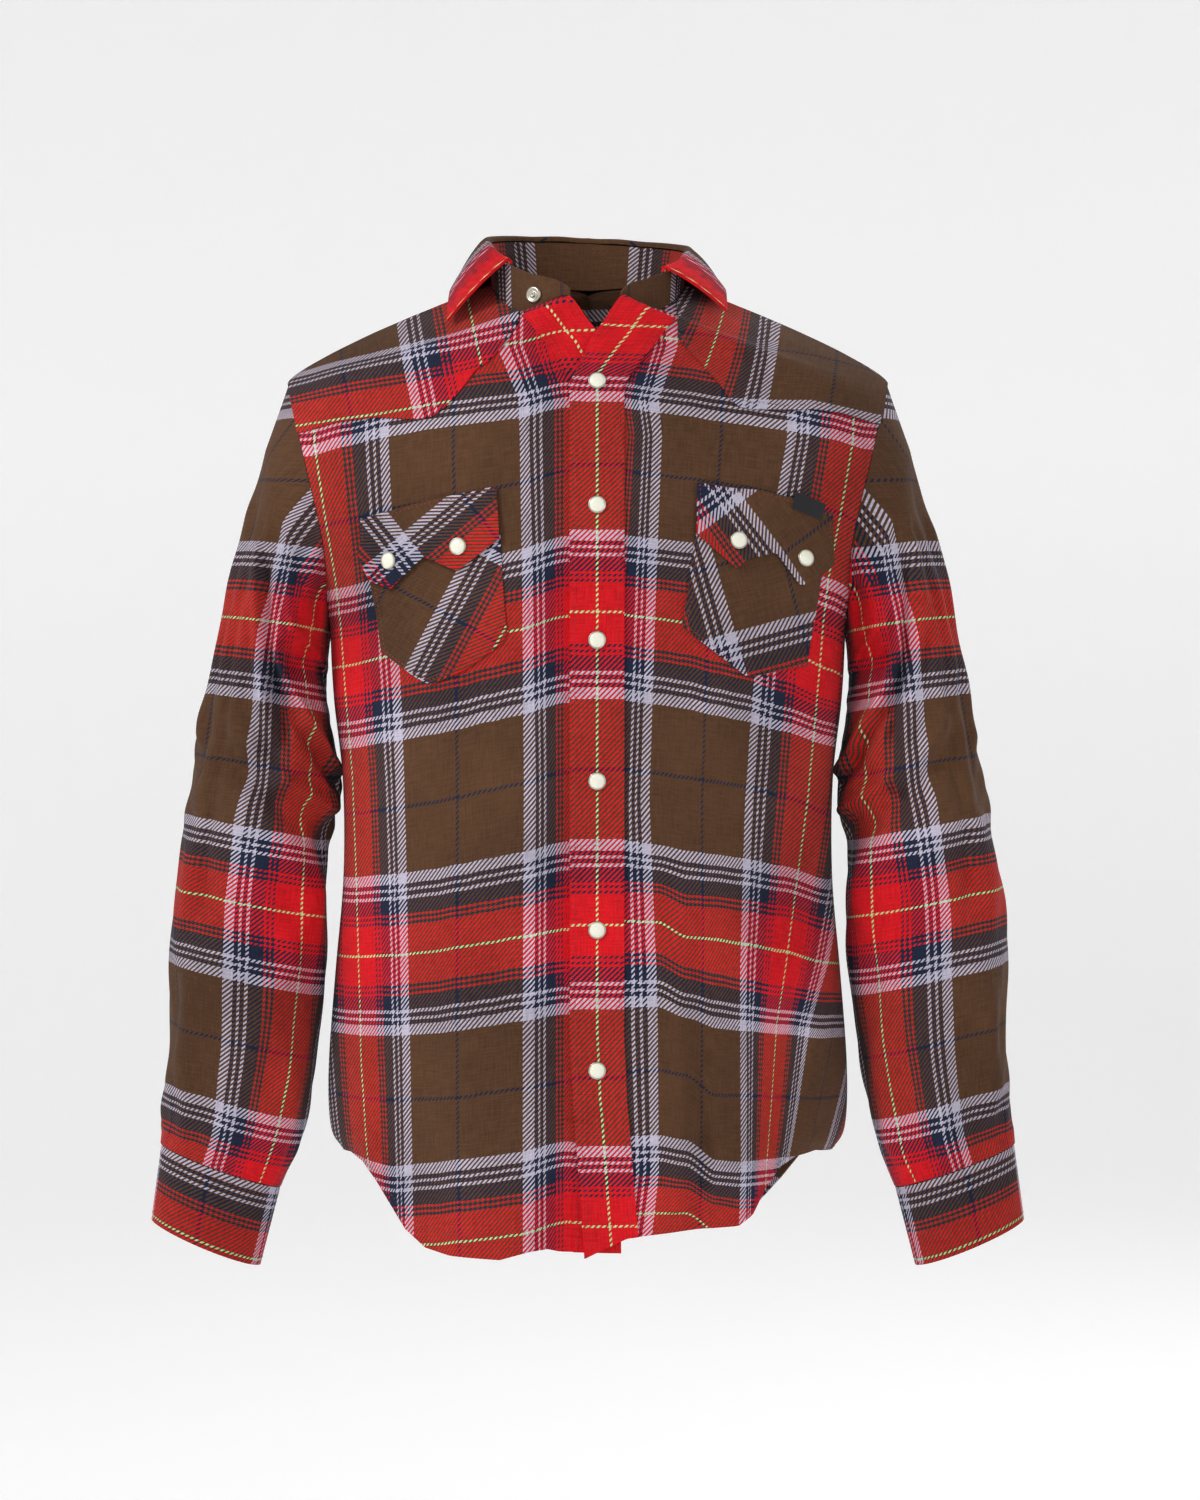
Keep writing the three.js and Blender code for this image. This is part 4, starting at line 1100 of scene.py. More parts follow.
WEFT_RIGHT = WeftChart(
    (16, 50, 70, 90, 110, 140, 175, 200),
    (
        (-640, (0, 9, 12, 15, 19, 24, 18, 18)),
        (-575, (7, 12, 15, 19, 21, 23, 24, 25)),
        (-510, (6, 11, 15, 18, 22, 26, 29, 30)),
        (-364, (3, 12, 16, 21, 25, 30, 35, 36)),
        (-200, (2, 12, 17, 22, 25, 28, 35, 38)),
        (-110, (0, 8, 10, 12, 14, 18, 24, 29)),
    ),
)
WEFT_LEFT = WeftChart(
    (16, 50, 70, 90, 110, 140, 175, 200),
    (
        (-680, (-6, -7, -7, 8, 14, 15, 15, 15)),
        (-640, (-3, -4, 0, 16, 18, 17, 17, 17)),
        (-575, (0, -2, 2, 17, 18, 21, 26, 30)),
        (-510, (1, 1, 11, 16, 20, 26, 34, 40)),
        (-464, (-1, 0, 11, 12, 15, 20, 32, 38)),
        (-405, (1, 6, 10, 13, 16, 23, 36, 42)),
        (-365, (0, 4, 7, 10, 13, 20, 30, 38)),
        (-295, (0, 4, 7, 12, 16, 25, 38, 46)),
        (-200, (1, 4, 6, 8, 11, 18, 28, 36)),
        (-110, (0, 4, 6, 9, 11, 14, 19, 24)),
    ),
)
WEFT_BAND = WeftChart(
    (0, 100),
    ((-680, (2, 2)), (-620, (4, 4)), (-515, (2, 2)), (-405, (1.6, 1.6)), (-300, (0, 0)), (-110, (-3, -3))),
)

# Plaid places: -55.6 and 47.5 bound a brown block's lavender stripes, 107.6 is green
WARP_RIGHT = WarpChart(
    (-85.6, -55.6, -47.5, 0, 47.5, 55.6, 107.6),
    (
        (-700, (17, 37, 46, 91, 124, 131, 155)),
        (-560, (17, 37, 46, 92.5, 126, 132, 163)),
        (-364, (17, 36, 45, 92, 130, 137, 171)),
        (-221, (17, 38, 46, 93, 136, 143, 182)),
        (-121, (17, 41, 48, 95, 141.5, 148, 197)),
        (-95, (17, 41, 49, 95, 142, 149, 199)),
        (-55, (30, 56, 65, 100, 143, 150, 203)),
    ),
)
WARP_LEFT = WarpChart(
    (-85.6, -55.6, -47.5, 0, 47.5, 55.6, 107.6),
    (
        (-700, (16, 37, 45, 79, 107, 113, 126)),
        (-640, (18, 45, 51, 81, 109, 114, 128)),
        (-539, (12, 43, 50, 81, 108, 113, 135)),
        (-497, (14, 42, 49, 82, 108, 113, 142)),
        (-378, (16, 37.5, 44, 81, 111.5, 117.5, 159)),
        (-221, (22, 42, 49, 86, 123, 130, 173)),
        (-121, (29, 46, 53, 95, 142, 149, 191)),
        (-95, (26, 43, 51, 95, 143, 150, 193)),
        (-55, (36, 56, 65, 103, 148, 155, 198)),
    ),
)


@dataclass
class FrontPanels:
    """Both front halves, their bands, and what lies on them."""

    hem_rows: int = 50
    rows: int = 201
    columns: int = 90
    band_columns: int = 22
    right: Half = field(init=False)
    left: Half = field(init=False)

    def __post_init__(self) -> None:
        """Make the two surfaces."""
        self.right = Half(FRONT_ROWS, RIGHT, HEM_RIGHT, FOLDS_RIGHT, EDGE_RIGHT, UNDER_BAND)
        self.left = Half(FRONT_ROWS, LEFT, HEM_LEFT, FOLDS_LEFT, EDGE_LEFT, BAND)

    def half(self, side: int) -> Half:
        """The half of one side."""
        return self.right if side == RIGHT else self.left

    def panel(self, side: int) -> Surface:
        """Surface of a whole front: rows from hem to shoulder, columns from edge to side.

        Args:
            side: The wearer's side.

        Returns:
            The surface, with its plaid places from the side's charts.
        """
        half = self.half(side)
        row = panel_rows(self.hem_rows, self.rows, TOP_ROW)
        x = half.columns(row, self.columns, 0.0)
        points = half.point(row, x)
        z = points[..., 2]
        warp, weft = (WARP_RIGHT, WEFT_RIGHT) if side == RIGHT else (WARP_LEFT, WEFT_LEFT)
        uv = np.stack([side * warp.at(x, z), weft.at(x, z)], -1)
        return Surface(points, uv, np.array([side * 0.3, -1.0, 0.2]))

    def band(self, side: int) -> Surface:
        """Surface of a front's band: the band's width from the edge, a green line down the middle.

        Args:
            side: The wearer's side.

        Returns:
            The surface, rows from the hem to the neck.
        """
        half = self.half(side)
        row = panel_rows(self.hem_rows, 200, NECK_ROW)
        across = np.linspace(0, half.band, self.band_columns)
        x = half.inner_x(row) + across
        points = half.point(row, x)
        u = HALF_REPEAT + side * (across - half.band / 2) + 0 * row
        weft = WEFT_BAND if side == LEFT else WEFT_RIGHT
        uv = np.stack([u, weft.at(np.abs(x), points[..., 2])], -1)
        return Surface(points, uv, np.array([0, -1.0, 0]))

    def yoke(self, side: int) -> Surface:
        """Surface of a front yoke: columns from the band or neck to the armhole.

        Args:
            side: The wearer's side.

        Returns:
            The surface, with the plaid's places measured along it from the chart's lines.
        """
        half = self.half(side)
        outline = YOKE_RIGHT if side == RIGHT else YOKE_LEFT
        _, x, points = half.yoke(outline, outline.column("x")[0], (10.0, TOP_ROW), 150, 60)
        z = points[..., 2]
        # A weft line of the photograph: its heights, its plaid place, and the warp's green line
        if side == RIGHT:
            line_x, line_z = (49, 91, 150, 207, 240), (-88, -94.5, -103, -108, -110)
            mark, zero = HALF_REPEAT, 171
        else:
            line_x, line_z = (49, 97, 124, 160, 208, 240), (-92, -92.5, -93, -92, -99, -101)
            mark, zero = 47.5, 174
        above = self.above_line(points, np.interp(x, line_x, line_z))
        v = mark - above + 0.5 * np.maximum(above - 60, 0)
        lean = 0.22 if side == RIGHT else np.interp(x, (75, 130), (0.5, 0.2))
        u = -side * (zero + lean * (z + 95) - x) * 1.06
        return Surface(points, np.stack([u, v], -1), np.array([side * 0.3, -1.0, 0.6]))

    @staticmethod
    def above_line(points: Array, line: Array) -> Array:
        """Length along each column from where it crosses a height to each point.

        Each step of the column counts as below the line by the share of it that is.

        Args:
            points: The grid.
            line: The height of the line at each point.

        Returns:
            Lengths, below 0 under the line.
        """
        z = points[..., 2]
        steps = np.linalg.norm(np.diff(points, axis=0), axis=-1)
        rise = np.maximum(z[1:] - z[:-1], 1e-6)
        share = np.clip((line[:-1] - z[:-1]) / rise, 0, 1)
        under = np.sum(steps * share, axis=0)
        below_first = np.minimum(0, line[0] - z[0])
        return run_length(points) - under - below_first

    def patch(
        self, side: int, sides: "PatchOutline", count: tuple[int, int], plaid: "TurnedPlaid",
    ) -> Surface:
        """Surface of a piece on a front, filled in between its four sides.

        Args:
            side: The wearer's side.
            sides: The piece's outline in the front view.
            count: Rows and columns.
            plaid: How its plaid is turned.

        Returns:
            The surface, on the front's own points.
        """
        flat = sides.filled(*count)
        x, z = flat[..., 0], flat[..., 1]
        half = self.half(side)
        points = half.point(half.row_at(x, z), x)
        return Surface(points, plaid.at(side * x, z), np.array([side * 0.2, -1.0, 0.1]))


@dataclass(frozen=True)
class TurnedPlaid:
    """A plaid turned in the front view.

    lean is the warp's turn from upright towards +X in degrees. At the point
    (x, z) of the front view the places are u and v, and each grows by its scale.
    """

    lean: float
    x: float
    z: float
    u: float
    v: float
    u_scale: float = 1.0
    v_scale: float = 1.0

    def at(self, x: Array, z: Array) -> Array:
        """Plaid places at points of the front view.

        Args:
            x: Distances towards +X.
            z: Heights.

        Returns:
            Warp and weft places, the turned distances from (x, z) added to (u, v).
        """
        c, s = math.cos(math.radians(self.lean)), math.sin(math.radians(self.lean))
        dx, dz = x - self.x, z - self.z
        return np.stack([
            self.u + (dx * c - dz * s) * self.u_scale,
            self.v - (dx * s + dz * c) * self.v_scale,
        ], -1)


@dataclass(frozen=True)
class PatchOutline:
    """Four sides of a sewn-on piece as (distance, height) points, from the same corners."""

    top: tuple[tuple[float, float], ...]
    bottom: tuple[tuple[float, float], ...]
    start: tuple[tuple[float, float], ...]
    end: tuple[tuple[float, float], ...]

    @staticmethod
    def side(points: tuple[tuple[float, float], ...], count: int) -> Array:
        """Even steps along a side, with its corners softened a little.

        Args:
            points: The side's corners.
            count: How many steps, ends included.

        Returns:
            The steps' points.
        """
        line = np.array(points, float)
        length = run_length(line)
        place = np.linspace(0, length[-1], count)
        sampled = np.stack([np.interp(place, length, line[:, k]) for k in (0, 1)], -1)
        for _ in range(2):
            sampled[1:-1] = (sampled[:-2] + 2 * sampled[1:-1] + sampled[2:]) / 4
        return sampled

    def filled(self, down: int, across: int) -> Array:
        """Fill the outline: opposite sides blended, less the corners counted twice.

        Args:
            down: How many rows.
            across: How many columns.

        Returns:
            The grid of (distance, height) points.
        """
        top, bottom = self.side(self.top, across), self.side(self.bottom, across)
        start, end = self.side(self.start, down)[:, None], self.side(self.end, down)[:, None]
        a = np.linspace(0, 1, across)[None, :, None]
        b = np.linspace(0, 1, down)[:, None, None]
        sides = (1 - b) * top + b * bottom + (1 - a) * start + a * end
        upper = (1 - a) * top[0] + a * top[-1]
        lower = (1 - a) * bottom[0] + a * bottom[-1]
        return sides - (1 - b) * upper - b * lower


POCKET_OUTLINES = {
    RIGHT: PatchOutline(
        ((61, -192), (150, -192)),
        ((56, -261), (59.5, -268), (85.6, -286.5), (110.3, -297), (121, -291.5), (146.3, -273)),
        ((61, -192), (58, -240.6), (56, -261)),
        ((150, -192), (156, -215), (150, -248), (146.3, -273)),
    ),
    LEFT: PatchOutline(
        ((76, -190), (166, -190)),
        ((66.2, -256.2), (84.6, -270.3), (112.8, -291.5), (156.6, -282.3)),
        ((76, -190), (72.5, -216), (71, -230), (66.2, -256.2)),
        ((166, -190), (167, -215), (163.6, -242.7), (160.8, -257), (156.6, -282.3)),
    ),
}
FLAP_OUTLINES = {
    RIGHT: PatchOutline(
        ((63.7, -158), (110, -166.5), (160.5, -178)),
        ((60.9, -194.7), (90.6, -217.3), (114.6, -206.7), (137.9, -228.6), (154.1, -221.6), (161.2, -207.4)),
        ((63.7, -158), (60.9, -194.7)),
        ((160.5, -178), (161.2, -207.4)),
    ),
    LEFT: PatchOutline(
        ((76.8, -155.2), (96.6, -158), (120.6, -159.4), (148.8, -165.1), (174.2, -173.5)),
        ((76.1, -191.9), (104.3, -215.2), (111.4, -208.8), (131.9, -203.2), (150.2, -225.8), (167.2, -215.2),
         (174.2, -209.6)),
        ((76.8, -155.2), (76.1, -191.9)),
        ((174.2, -173.5), (174.2, -209.6)),
    ),
}
TAB_OUTLINE = PatchOutline(
    ((147, -160), (168, -167.5)), ((143.6, -171.5), (164.6, -178.5)),
    ((147, -160), (143.6, -171.5)), ((168, -167.5), (164.6, -178.5)),
)
POCKET_PLAIDS = {
    RIGHT: TurnedPlaid(29, -129.8, -285.2, 47.5, 48, 1.2, 1.0),
    LEFT: TurnedPlaid(-16, 104, -259, -47.5, 47.5),
}
FLAP_PLAIDS = {
    RIGHT: TurnedPlaid(51, -131.9, -191, 47.5, 52, 1.24, 1.0),
    LEFT: TurnedPlaid(-37, 138.3, -202.7, -47.5, 0, 1.12, 1.05),
}


@dataclass
class BackPanel:
    """The back in two mirrored halves that meet at the centre, and its yoke."""

    hem_rows: int = 40
    rows: int = 161
    columns: int = 90

    def half(self, side: int) -> Half:
        """The half of one side."""
        return Half(BACK_ROWS, side, HEM_BACK, FOLDS_BACK)

    @staticmethod
    def places(side: int, x: Array, points: Array) -> Array:
        """Plaid places: the warp by length round the row, the weft by height, lower at the sides.

        Args:
            side: The wearer's side.
            x: Distances from the centre plane.
            points: Points of the half, row by row.

        Returns:
            Places, with a brown block over the centre.
        """
        u = -20 - side * run_length(points, axis=1)
        v = 40 - points[..., 2] - 24 * (x / 190) ** 2
        return np.stack([u, v], -1)

    def panel(self, side: int) -> Surface:
        """Surface of one half of the back.

        Args:
            side: The wearer's side.

        Returns:
            The surface, rows from the hem to the neck and shoulder.
        """
        half = self.half(side)
        row = panel_rows(self.hem_rows, self.rows, TOP_ROW)
        x = half.columns(row, self.columns, 0.0)
        points = half.point(row, x)
        return Surface(points, self.places(side, x, points), np.array([side * 0.3, 1.0, 0.2]))

    def yoke(self, side: int) -> Surface:
        """Surface of one half of the back yoke, from its outline over to the shoulder seam.

        Args:
            side: The wearer's side.

        Returns:
            The surface, with its plaid measured along it.
        """
        half = self.half(side)
        row, x, points = half.yoke(YOKE_BACK, 0.0, (9.0, 13.0), 110, 90)
        v = -58 - points[:1, :, 2] - run_length(points) - 10 * (x / 190) ** 2
        u = -12 - side * (run_length(points, axis=1) + half.inner_x(row))
        return Surface(points, np.stack([u, v], -1), np.array([side * 0.3, 1.0, 0.6]))


@dataclass
class Sleeve:
    """A sleeve, its vent band and its cuff, for one side."""

    side: int
    front: Half
    back: Half
    rings: int = 190
    steps: int = 156
    scale: float = 1.055
    ripple: tuple[float, float] = (1.7, 1.0)
    crumple: tuple[float, float] = (5.4, 2.2)
    vent_row: float = 10.6
    cuff_row: float = 15.0
    cuff_lap: float = 284.0
    cuff_overlap: float = 24.0
    # The cuff's upper centre, how far its lower one lies out and down, and its half width and depth
    cuff_centre: tuple[float, float, float] = (270.0, -12.0, -648.0)
    cuff_run: tuple[float, float] = (11.0, -56.0)
    cuff_half: tuple[float, float] = (46.5, 33.0)

    def armhole(self, turn: Array) -> Array:
        """Point of the armhole at each turn: its length is shared out from underarm to shoulder.

        The front's edge takes the turns from 180 degrees to 0, the back's those from 0
        to -180.

        Args:
            turn: Turns in radians, 0 at the shoulder and half a turn at the underarm.

        Returns:
            Points of the armhole, a seam's width outside the panels.
        """
        row = np.linspace(UNDERARM_ROW, TOP_ROW, 120)
        share = 1 - np.abs(turn) / math.pi
        edges = []
        for half in (self.front, self.back):
            points = half.point(row, half.outer_x(row))
            length = run_length(points)
            place = share * length[-1]
            edges.append(np.stack([np.interp(place, length, points[:, k]) for k in range(3)], -1))
        points = np.where((turn >= 0)[:, None], edges[0], edges[1])
        return points + np.array([self.side * SEAM, 0, 0])

    def ring_points(self, row: Array, turn: Array) -> Array:
        """Points of the sleeve's own sections: tilted ellipses, moved out by its folds.

        Args:
            row: Places between the table's rows.
            turn: Turns in radians, 0 outside and a quarter turn at the front.

        Returns:
            centre + (cos turn, -sin turn, cos turn) * half sizes * (1 + swell / half width).
        """
        value = {name: SLEEVE_ROWS.along(name, row) for name in SLEEVE_ROWS.columns}
        half_x, half_z = (value["outX"] - value["inX"]) / 2, (value["outZ"] - value["inZ"]) / 2
        degrees = np.degrees(turn) % 360
        swell = 0
        for fold in SLEEVE_FOLDS:
            swell = swell + fold.at(degrees + 0 * row, row * 20 + 0 * turn)
        slow = np.sin(4 * turn + 0.9 * row + self.side) * np.sin(1.7 * row + 2 * turn)
        quick = np.sin(9 * turn - 1.3 * row) * np.sin(3.1 * row - 3 * turn + 2 * self.side)
        swell = swell + self.ripple[0] * slow + self.ripple[1] * quick
        swell = swell * ease(row / 1.5) * ease(self.cuff_row - row)
        grow = 1 + swell / np.hypot(half_x, half_z)
        return np.stack([
            self.side * ((value["outX"] + value["inX"]) / 2 + np.cos(turn) * half_x * grow),
            value["y"] - np.sin(turn) * value["depth"] * grow,
            (value["outZ"] + value["inZ"]) / 2 + np.cos(turn) * half_z * grow,
        ], -1)

    def surface(self) -> Surface:
        """Surface from the armhole to the cuff, joined under the arm.

        The first stretch is a cubic from the armhole to the first section.

        Returns:
            The surface, rings by steps of turn from -180 to 180 degrees.
        """
        turn = np.linspace(-math.pi, math.pi, self.steps)
        row = np.linspace(0, self.cuff_row, self.rings)[:, None]
        own = self.ring_points(row, turn[None, :])
        start = self.armhole(turn)
        first = own[0]
        step = self.ring_points(np.array([[1.0]]), turn[None, :])[0] - first
        f = np.linspace(0, 1, 16)[:-1, None, None]
        slope_a, slope_b = first - start, ((first - start) + step) / 2
        cap = cubic(start, first, slope_a, slope_b, f)
        # Under the arm the cloth crumples into short folds across the cap
        degrees = np.degrees(turn)[:, None]
        near = np.exp(-((np.abs(degrees) - 128) / 30) ** 2)
        crumple = near * (self.crumple[0] * np.sin(degrees / 5.6) - self.crumple[1])
        cap = cap + unit(cap - np.mean(cap, axis=1, keepdims=True)) * crumple * 4 * f * (1 - f)
        points = np.concatenate([cap, own])
        uv = self.places(points, turn[None, :])
        middle = np.mean(points, axis=1, keepdims=True)
        return Surface(points, uv, unit(points - middle))

    def places(self, points: Array, turn: Array) -> Array:
        """Plaid places: the warp by turn, the weft by height, lower towards the body.

        Args:
            points: Points of the sleeve.
            turn: Their turns in radians.

        Returns:
            Places, 0 in the warp at 32 degrees towards the front.
        """
        z = points[..., 2]
        drop = np.interp(z, (-620, -440, -250), (29, 22, 11)) * (1 - np.cos(turn)) / 2
        blues = (-738, -640, -542, -443, -346, -245, -145, -45)
        v = np.interp(z + drop, blues, HALF_REPEAT * np.arange(6, -2, -1.0))
        u = -self.side * (np.degrees(turn) - 32) * self.scale
        return np.stack(np.broadcast_arrays(u, v), -1)

    def vent(self) -> Surface:
        """Surface of the vent's band, up the back of the sleeve from the cuff.

        Returns:
            The surface, which widens in degrees as the sleeve narrows.
        """
        lap = math.radians(self.cuff_lap - 360)
        row = np.linspace(self.vent_row, self.cuff_row, 60)[:, None]
        half_turn = np.interp(row, (self.vent_row, self.cuff_row), (10.5, 16)) * math.pi / 180
        turn = lap + half_turn * np.linspace(-1, 1, 14)
        points = self.ring_points(row, turn)
        uv = self.places(points, turn)
        uv[..., 0] = HALF_REPEAT + np.linspace(-11, 11, 14)
        return Surface(points, uv, np.array([self.side * math.cos(lap), -math.sin(lap), 0.0]))

    def cuff(self) -> Surface:
        """Surface of the cuff: a tapering ellipse whose ends lie over each other at the back.

        Returns:
            The surface, whose outer end eases in by the wall's thickness over the lap.
        """
        across = np.linspace(0, 1, 130)
        f = np.linspace(0, 1, 34)[:, None]
        total = 360 + self.cuff_overlap
        degrees = self.cuff_lap - total * across
        turn = np.radians(degrees)
        out = (STIFF + 2 * GAP) * (1 - ease(total * across / (2 * self.cuff_overlap) - 0.45))
        tilt = np.radians(20 + 3 * f)
        half_x = self.cuff_half[0] - 3 * f + out
        x = self.cuff_centre[0] + self.cuff_run[0] * f + np.cos(turn) * half_x * np.cos(tilt)
        z = self.cuff_centre[2] + self.cuff_run[1] * f + np.cos(turn) * half_x * np.sin(tilt)
        y = self.cuff_centre[1] - np.sin(turn) * (self.cuff_half[1] + out)
        y, x, z = np.broadcast_arrays(y, x, z)
        points = np.stack([self.side * x, y, z - SEAM], -1)
        u = np.broadcast_to(-self.side * (degrees - 84) * 0.72, x.shape)
        v = np.broadcast_to(50 + 62 * f, x.shape)
        middle = np.mean(points, axis=1, keepdims=True)
        return Surface(points, np.stack([u, v], -1), unit(points - middle))


@dataclass
class Collar:
    """The stand round the neck and the leaf that rolls over it and falls outside."""

    fronts: dict[int, Half]
    backs: dict[int, Half]
    tilt: float = 0.05
    leaf_start: float = 3.0
    right_drop: float = 11.0
    smoothing: int = 60

    def neck(self, side: int, place: Array) -> Array:
        """Neck point at each place: 0 at the front end, 6 at the shoulder, 12 at the centre back.

        Args:
            side: The wearer's side.
            place: The places.

        Returns:
            Points of the panels' own neck edges.
        """
        place = np.clip(place, 0, 12)
        front, back = self.fronts[side], self.backs[side]
        row_front, row_back = NECK_ROW + place / 2, 19 - place / 2
        row_front, row_back = np.minimum(row_front, TOP_ROW), np.minimum(row_back, TOP_ROW)
        on_front = front.point(row_front, front.inner_x(row_front))
        on_back = back.point(row_back, back.inner_x(row_back))
        return np.where((place <= 6)[:, None], on_front, on_back)

    def stations(self, start: float, count: int) -> tuple[Array, Array, Array, Array]:
        """Neck points from the right front round to the left one.

        Args:
            start: The place where they begin on both sides.
            count: How many lie on each side.

        Returns:
            Points, outward directions in plan, places and sides.
        """
        place = np.linspace(start, 12, count)
        right, left = self.neck(RIGHT, place), self.neck(LEFT, place)
        points = np.concatenate([right, left[::-1][1:]])
        # The two halves meet at a slight point at the centre back, which the collar rounds
        blend = np.exp(-((np.arange(len(points)) - count + 1) / 9) ** 2)[:, None]
        for _ in range(self.smoothing):
            middle = (points[:-2] + points[2:]) / 2
            points[1:-1] += (middle - points[1:-1]) * 0.5 * blend[1:-1]
        ways = []
        for side in (RIGHT, LEFT):
            after, before = self.neck(side, place + 1), self.neck(side, place - 1)
            mirror = self.neck(-side, 24 - (place + 1))
            after = np.where((place + 1 > 12)[:, None], mirror, after)
            ways.append((after - before) * (1 if side == RIGHT else -1))
        way = np.concatenate([ways[0], ways[1][::-1][1:]])
        out = unit(np.stack([-way[:, 1], way[:, 0], 0 * way[:, 0]], -1))
        places = np.concatenate([place, place[::-1][1:]])
        sides = np.concatenate([np.full(count, RIGHT), np.full(count - 1, LEFT)])
        return points, out, places, sides

    def top(self, points: Array, out: Array, places: Array) -> Array:
        """The stand's top: up and out from the neck, lower on the wearer's left.

        Args:
            points: Neck points.
            out: Outward directions in plan.
            places: Their places round the neck.

        Returns:
            Points of the top.
        """
        up = COLLAR_ROWS.along("up", places / 2) - self.tilt * points[:, 0]
        lean = COLLAR_ROWS.along("out", places / 2)
        return points + out * lean[:, None] + np.stack([0 * up, 0 * up, up], -1)

    def stand(self) -> Surface:
        """Surface of the stand: straight from the neck seam to its top.

        Returns:
            The surface, from the right front round to the left one.
        """
        points, out, places, _ = self.stations(0.0, 110)
        base = points - out * SEAM + np.array([0, 0, SEAM + GAP])
        top = self.top(points, out, places)
        f = np.linspace(0, 1, 16)[:, None, None]
        grid = base + (top - base) * f
        length = run_length(points)
        u = np.minimum(length, length[-1] - length) - 6
        v = 8 + 36 * f[:, :, 0]
        uv = np.stack(np.broadcast_arrays(u[None, :], v), -1)
        return Surface(grid, uv, np.broadcast_to(out, grid.shape))

    def edge(self, places: Array, sides: Array) -> Array:
        """The leaf's edge: above the front or back surface at its place in plan.

        Args:
            places: Places round the neck.
            sides: The side of each.

        Returns:
            Points of the edge.
        """
        x = np.maximum(COLLAR_ROWS.along("edgeX", places / 2), 0.1)
        # The right point hangs lower on the front than the left one
        drop = np.where(sides == RIGHT, self.right_drop * ease((6.5 - places) / 3), 0)
        y = COLLAR_ROWS.along("edgeY", places / 2) - drop
        heights = np.zeros_like(x)
        for side in (RIGHT, LEFT):
            front, back = self.fronts[side], self.backs[side]
            on_front = front.point(front.row_at_depth(x, y), x)[:, 2]
            on_back = back.point(back.row_at_depth(x, y), x)[:, 2]
            height = np.where(y < -14, on_front, on_back)
            heights = np.where(sides == side, height, heights)
        clear = np.interp(places, (3, 6, 12), (9.5, 9, 8.2))
        return np.stack([sides * x, y, heights + clear], -1)

    def leaf(self) -> Surface:
        """Surface of the leaf: a roll over the stand's top, then a bulging fall to its edge.

        Returns:
            The surface, whose fall is the straight line to the edge and a bulge of f * (1 - f).
        """
        points, out, places, sides = self.stations(self.leaf_start, 120)
        top = self.top(points, out, places)
        outs = smooth_run(np.array([-1, -0.4, 2, 4.6]), np.linspace(0, 3, 14))[:, None]
        ups = smooth_run(np.array([1.3, 3.4, 4.6, 2.6]), np.linspace(0, 3, 14))[:, None]
        roll = top + out * outs[..., None] + np.stack([0 * ups, 0 * ups, ups], -1)
        edge = self.edge(places, sides)
        f = np.linspace(0, 1, 40)[1:, None, None]
        bulge = f * (1 - f)
        fall = roll[-1] + (edge - roll[-1]) * f + out * 3 * bulge + np.array([0, 0, 8.0]) * bulge
        grid = np.concatenate([roll, fall])
        middle = (points + top) / 2
        length = run_length(middle)
        reach = np.minimum(length, length[-1] - length)
        u = 110 - 1.6 * np.minimum(reach, 45) - 0.45 * np.maximum(reach - 45, 0)
        down = run_length(grid)
        v = np.where(u[None, :] < 56, down - 20, 86 + 0.3 * down)
        uv = np.stack(np.broadcast_arrays(u[None, :], v), -1)
        return Surface(grid, uv, np.broadcast_to(out + np.array([0, 0, 0.8]), grid.shape))


def turned_profile(
    profile: Sequence[tuple[float, float]], centre: Array, axis: Array, finish: int, steps: int = 40,
) -> MeshData:
    """Turn a profile round an axis.

    Args:
        profile: (radius, height) points from the seat outwards.
        centre: The seat's centre.
        axis: The unit axis.
        finish: The number of its finish.
        steps: How many turns.

    Returns:
        The mesh, open at the profile's two ends.
    """
    side = unit(np.cross(axis, np.array([0.0, 0.0, 1.0])))
    other = np.cross(axis, side)
    angle = np.linspace(0, 2 * math.pi, steps, endpoint=False)
    ring = np.cos(angle)[:, None] * side + np.sin(angle)[:, None] * other
    shape = np.array(profile, float)
    points = centre + ring[None] * shape[:, 0, None, None] + axis * shape[:, 1, None, None]
    index = np.arange(len(shape) * steps).reshape(len(shape), steps)
    after = np.roll(index, -1, axis=1)
    faces = np.stack([index[:-1], after[:-1], after[1:], index[1:]], -1).reshape(-1, 4)
    uv = np.stack(np.broadcast_arrays(angle[None, :] * 6, shape[:, 1, None]), -1)
    return MeshData(points.reshape(-1, 3), faces, uv.reshape(-1, 2), np.full(len(faces), finish))


